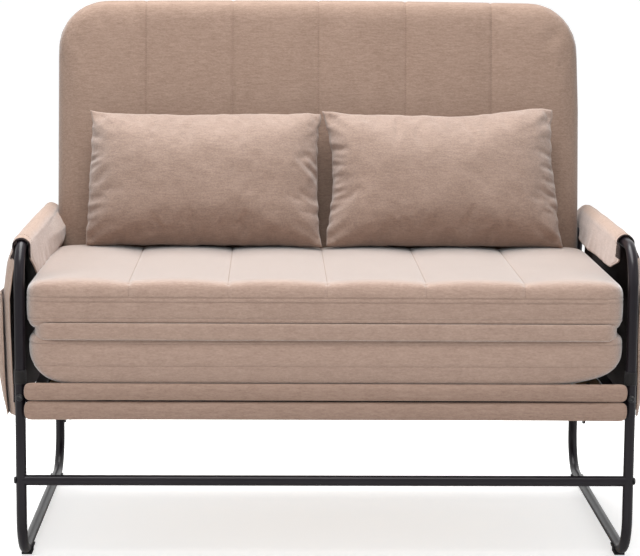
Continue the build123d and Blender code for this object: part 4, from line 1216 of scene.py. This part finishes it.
# Slat screws: small cross-head screws with domed heads, plated with black zinc. One is driven through
# each end of every slat into the frame below.
tree, start, given = tree_with("slat_screws", Spots="Geometry", Head="Float", Dome="Float", Slot="Float")
ball = {"Segments": 16, "Rings": 8, "Radius": given["Head"]}
dome = start.node("GeometryNodeMeshUVSphere", {}, ball, "Mesh")
dome = moved(start, dome, Scale=xyz(start, 1.0, 1.0, given["Dome"]))
cross = start.node("GeometryNodeJoinGeometry", {}, {})
for turn in (0.0, pi / 2):
    size = xyz(start, given["Head"] * 1.1, given["Slot"], given["Head"] * given["Dome"] * 2.04)
    bar = start.node("GeometryNodeMeshCube", {}, {"Size": size}, "Mesh")
    moved(start, bar, Rotation=(0, 0, turn)).into(cross.socket.node, 0)
shallow = moved(start, cross, Translation=(0, 0, 0.0012))
cut = start.node("GeometryNodeMeshBoolean", {"operation": "DIFFERENCE"}, {"Mesh 1": dome, "Mesh 2": shallow})
heads = start.node("GeometryNodeInstanceOnPoints", {}, {"Points": given["Spots"], "Instance": cut})
finish_tree(start, heads, bolt_zinc)
slat_pitch, from_end, head_lift = 0.106, 0.011, 0.0001
for name, node, count, body_name in (
    ("slat_screws", "fixed_slats", 10, "frame"),
    ("tray_slat_screws", "tray_slats", 9, "tray"),
):
    low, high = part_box(node)
    columns = [(i - (count - 1) / 2) * slat_pitch for i in range(count)]
    spots = [(x, y, high.z + head_lift) for x in columns for y in (low.y + from_end, high.y - from_end)]
    screws = built(name, tree, {"Head": 0.0036, "Dome": 0.42, "Slot": 0.0007}, plain_mesh("spots", spots))
    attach(screws, body_name)

# Stitches: short lengths of thread along the hems of the arm covers and pockets and in the seams of the
# cushions and the backrest. They are set along each line by one tree, and each body carries its own.
thread_look = {"Specular IOR Level": 0.25, "Sheen Weight": 0.2, "Roughness": 0.7}
thread_finish, start, shader = finish("sewing_thread", thread_look)
twist = grain(start, 2400, 2.0)
blend_of(start, twist, (0.235, 0.160, 0.122, 1), (0.350, 0.250, 0.196, 1)).into(shader, "Base Color")


def laid_line(piece, places, toward):
    """A line of stitching on a finished skin: each place is moved one way until it meets the skin."""
    found = [piece.ray_cast(Vector(place), Vector(toward)) for place in places]
    return [tuple(spot + 0.0003 * normal) for hit, spot, normal, face in found if hit]


stitch_step, from_above, from_front = 0.006, 0.8, -0.8
for seam_x in channel_seams[1:-1]:
    places = [(seam_x, y, from_above) for y in np.arange(-0.375, 0.11, stitch_step)]
    stitched_lines["seat_fold"].append(laid_line(upper_cushion, places, (0, 0, -1)))
for body_name, cushion, height, left, right in (
    ("seat_fold", upper_cushion, twin_seams[0], -0.500, 0.501),
    ("seat_fold", upper_cushion, twin_seams[1], -0.500, 0.501),
    ("frame", lower_cushion, lower_seam, -0.480, 0.451),
):
    places = [(x, from_front, height) for x in np.arange(left, right, stitch_step)]
    stitched_lines[body_name].append(laid_line(cushion, places, (0, 1, 0)))
for seam_x in back_seams[1:-1]:
    places = on_the_lean(np.array([(seam_x, up, 0.3) for up in np.arange(0.0, 0.605, stitch_step)]))
    stitched_lines["backrest"].append(laid_line(backrest, places, (0, cos(lean), -sin(lean))))

tree, start, given = tree_with("stitches", Seams="Geometry", Pitch="Float", Length="Float", Thickness="Float")
line = start.node("GeometryNodeMeshToCurve", {}, {"Mesh": given["Seams"]})
paced = {"Curve": line, "Length": given["Pitch"]}
spots = start.node("GeometryNodeCurveToPoints", {"mode": "LENGTH"}, paced, "Points")
tangent = Thread(tree, spots.socket.node.outputs["Tangent"])
turn = start.node("FunctionNodeAlignRotationToVector", {"axis": "Z"}, {"Vector": tangent}, "Rotation")
bead = start.node("GeometryNodeMeshUVSphere", {}, {"Segments": 5, "Rings": 4, "Radius": 1.0}, "Mesh")
size = xyz(start, given["Thickness"], given["Thickness"], given["Length"] * 0.5)
laid = {"Points": spots, "Instance": moved(start, bead, Scale=size), "Rotation": turn}
finish_tree(start, start.node("GeometryNodeInstanceOnPoints", {}, laid), thread_finish)
stitch_size = {"Pitch": 0.0042, "Length": 0.0031, "Thickness": 0.00042}
for body_name, lines in stitched_lines.items():
    places, pairs = [], []
    for sewn_line in lines:
        first = len(places)
        places += [tuple(map(float, place)) for place in sewn_line]
        pairs += [(i, i + 1) for i in range(first, len(places) - 1)]
    stitches = built("stitches_" + body_name, tree, stitch_size, plain_mesh("seam_lines", places, pairs))
    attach(stitches, body_name)
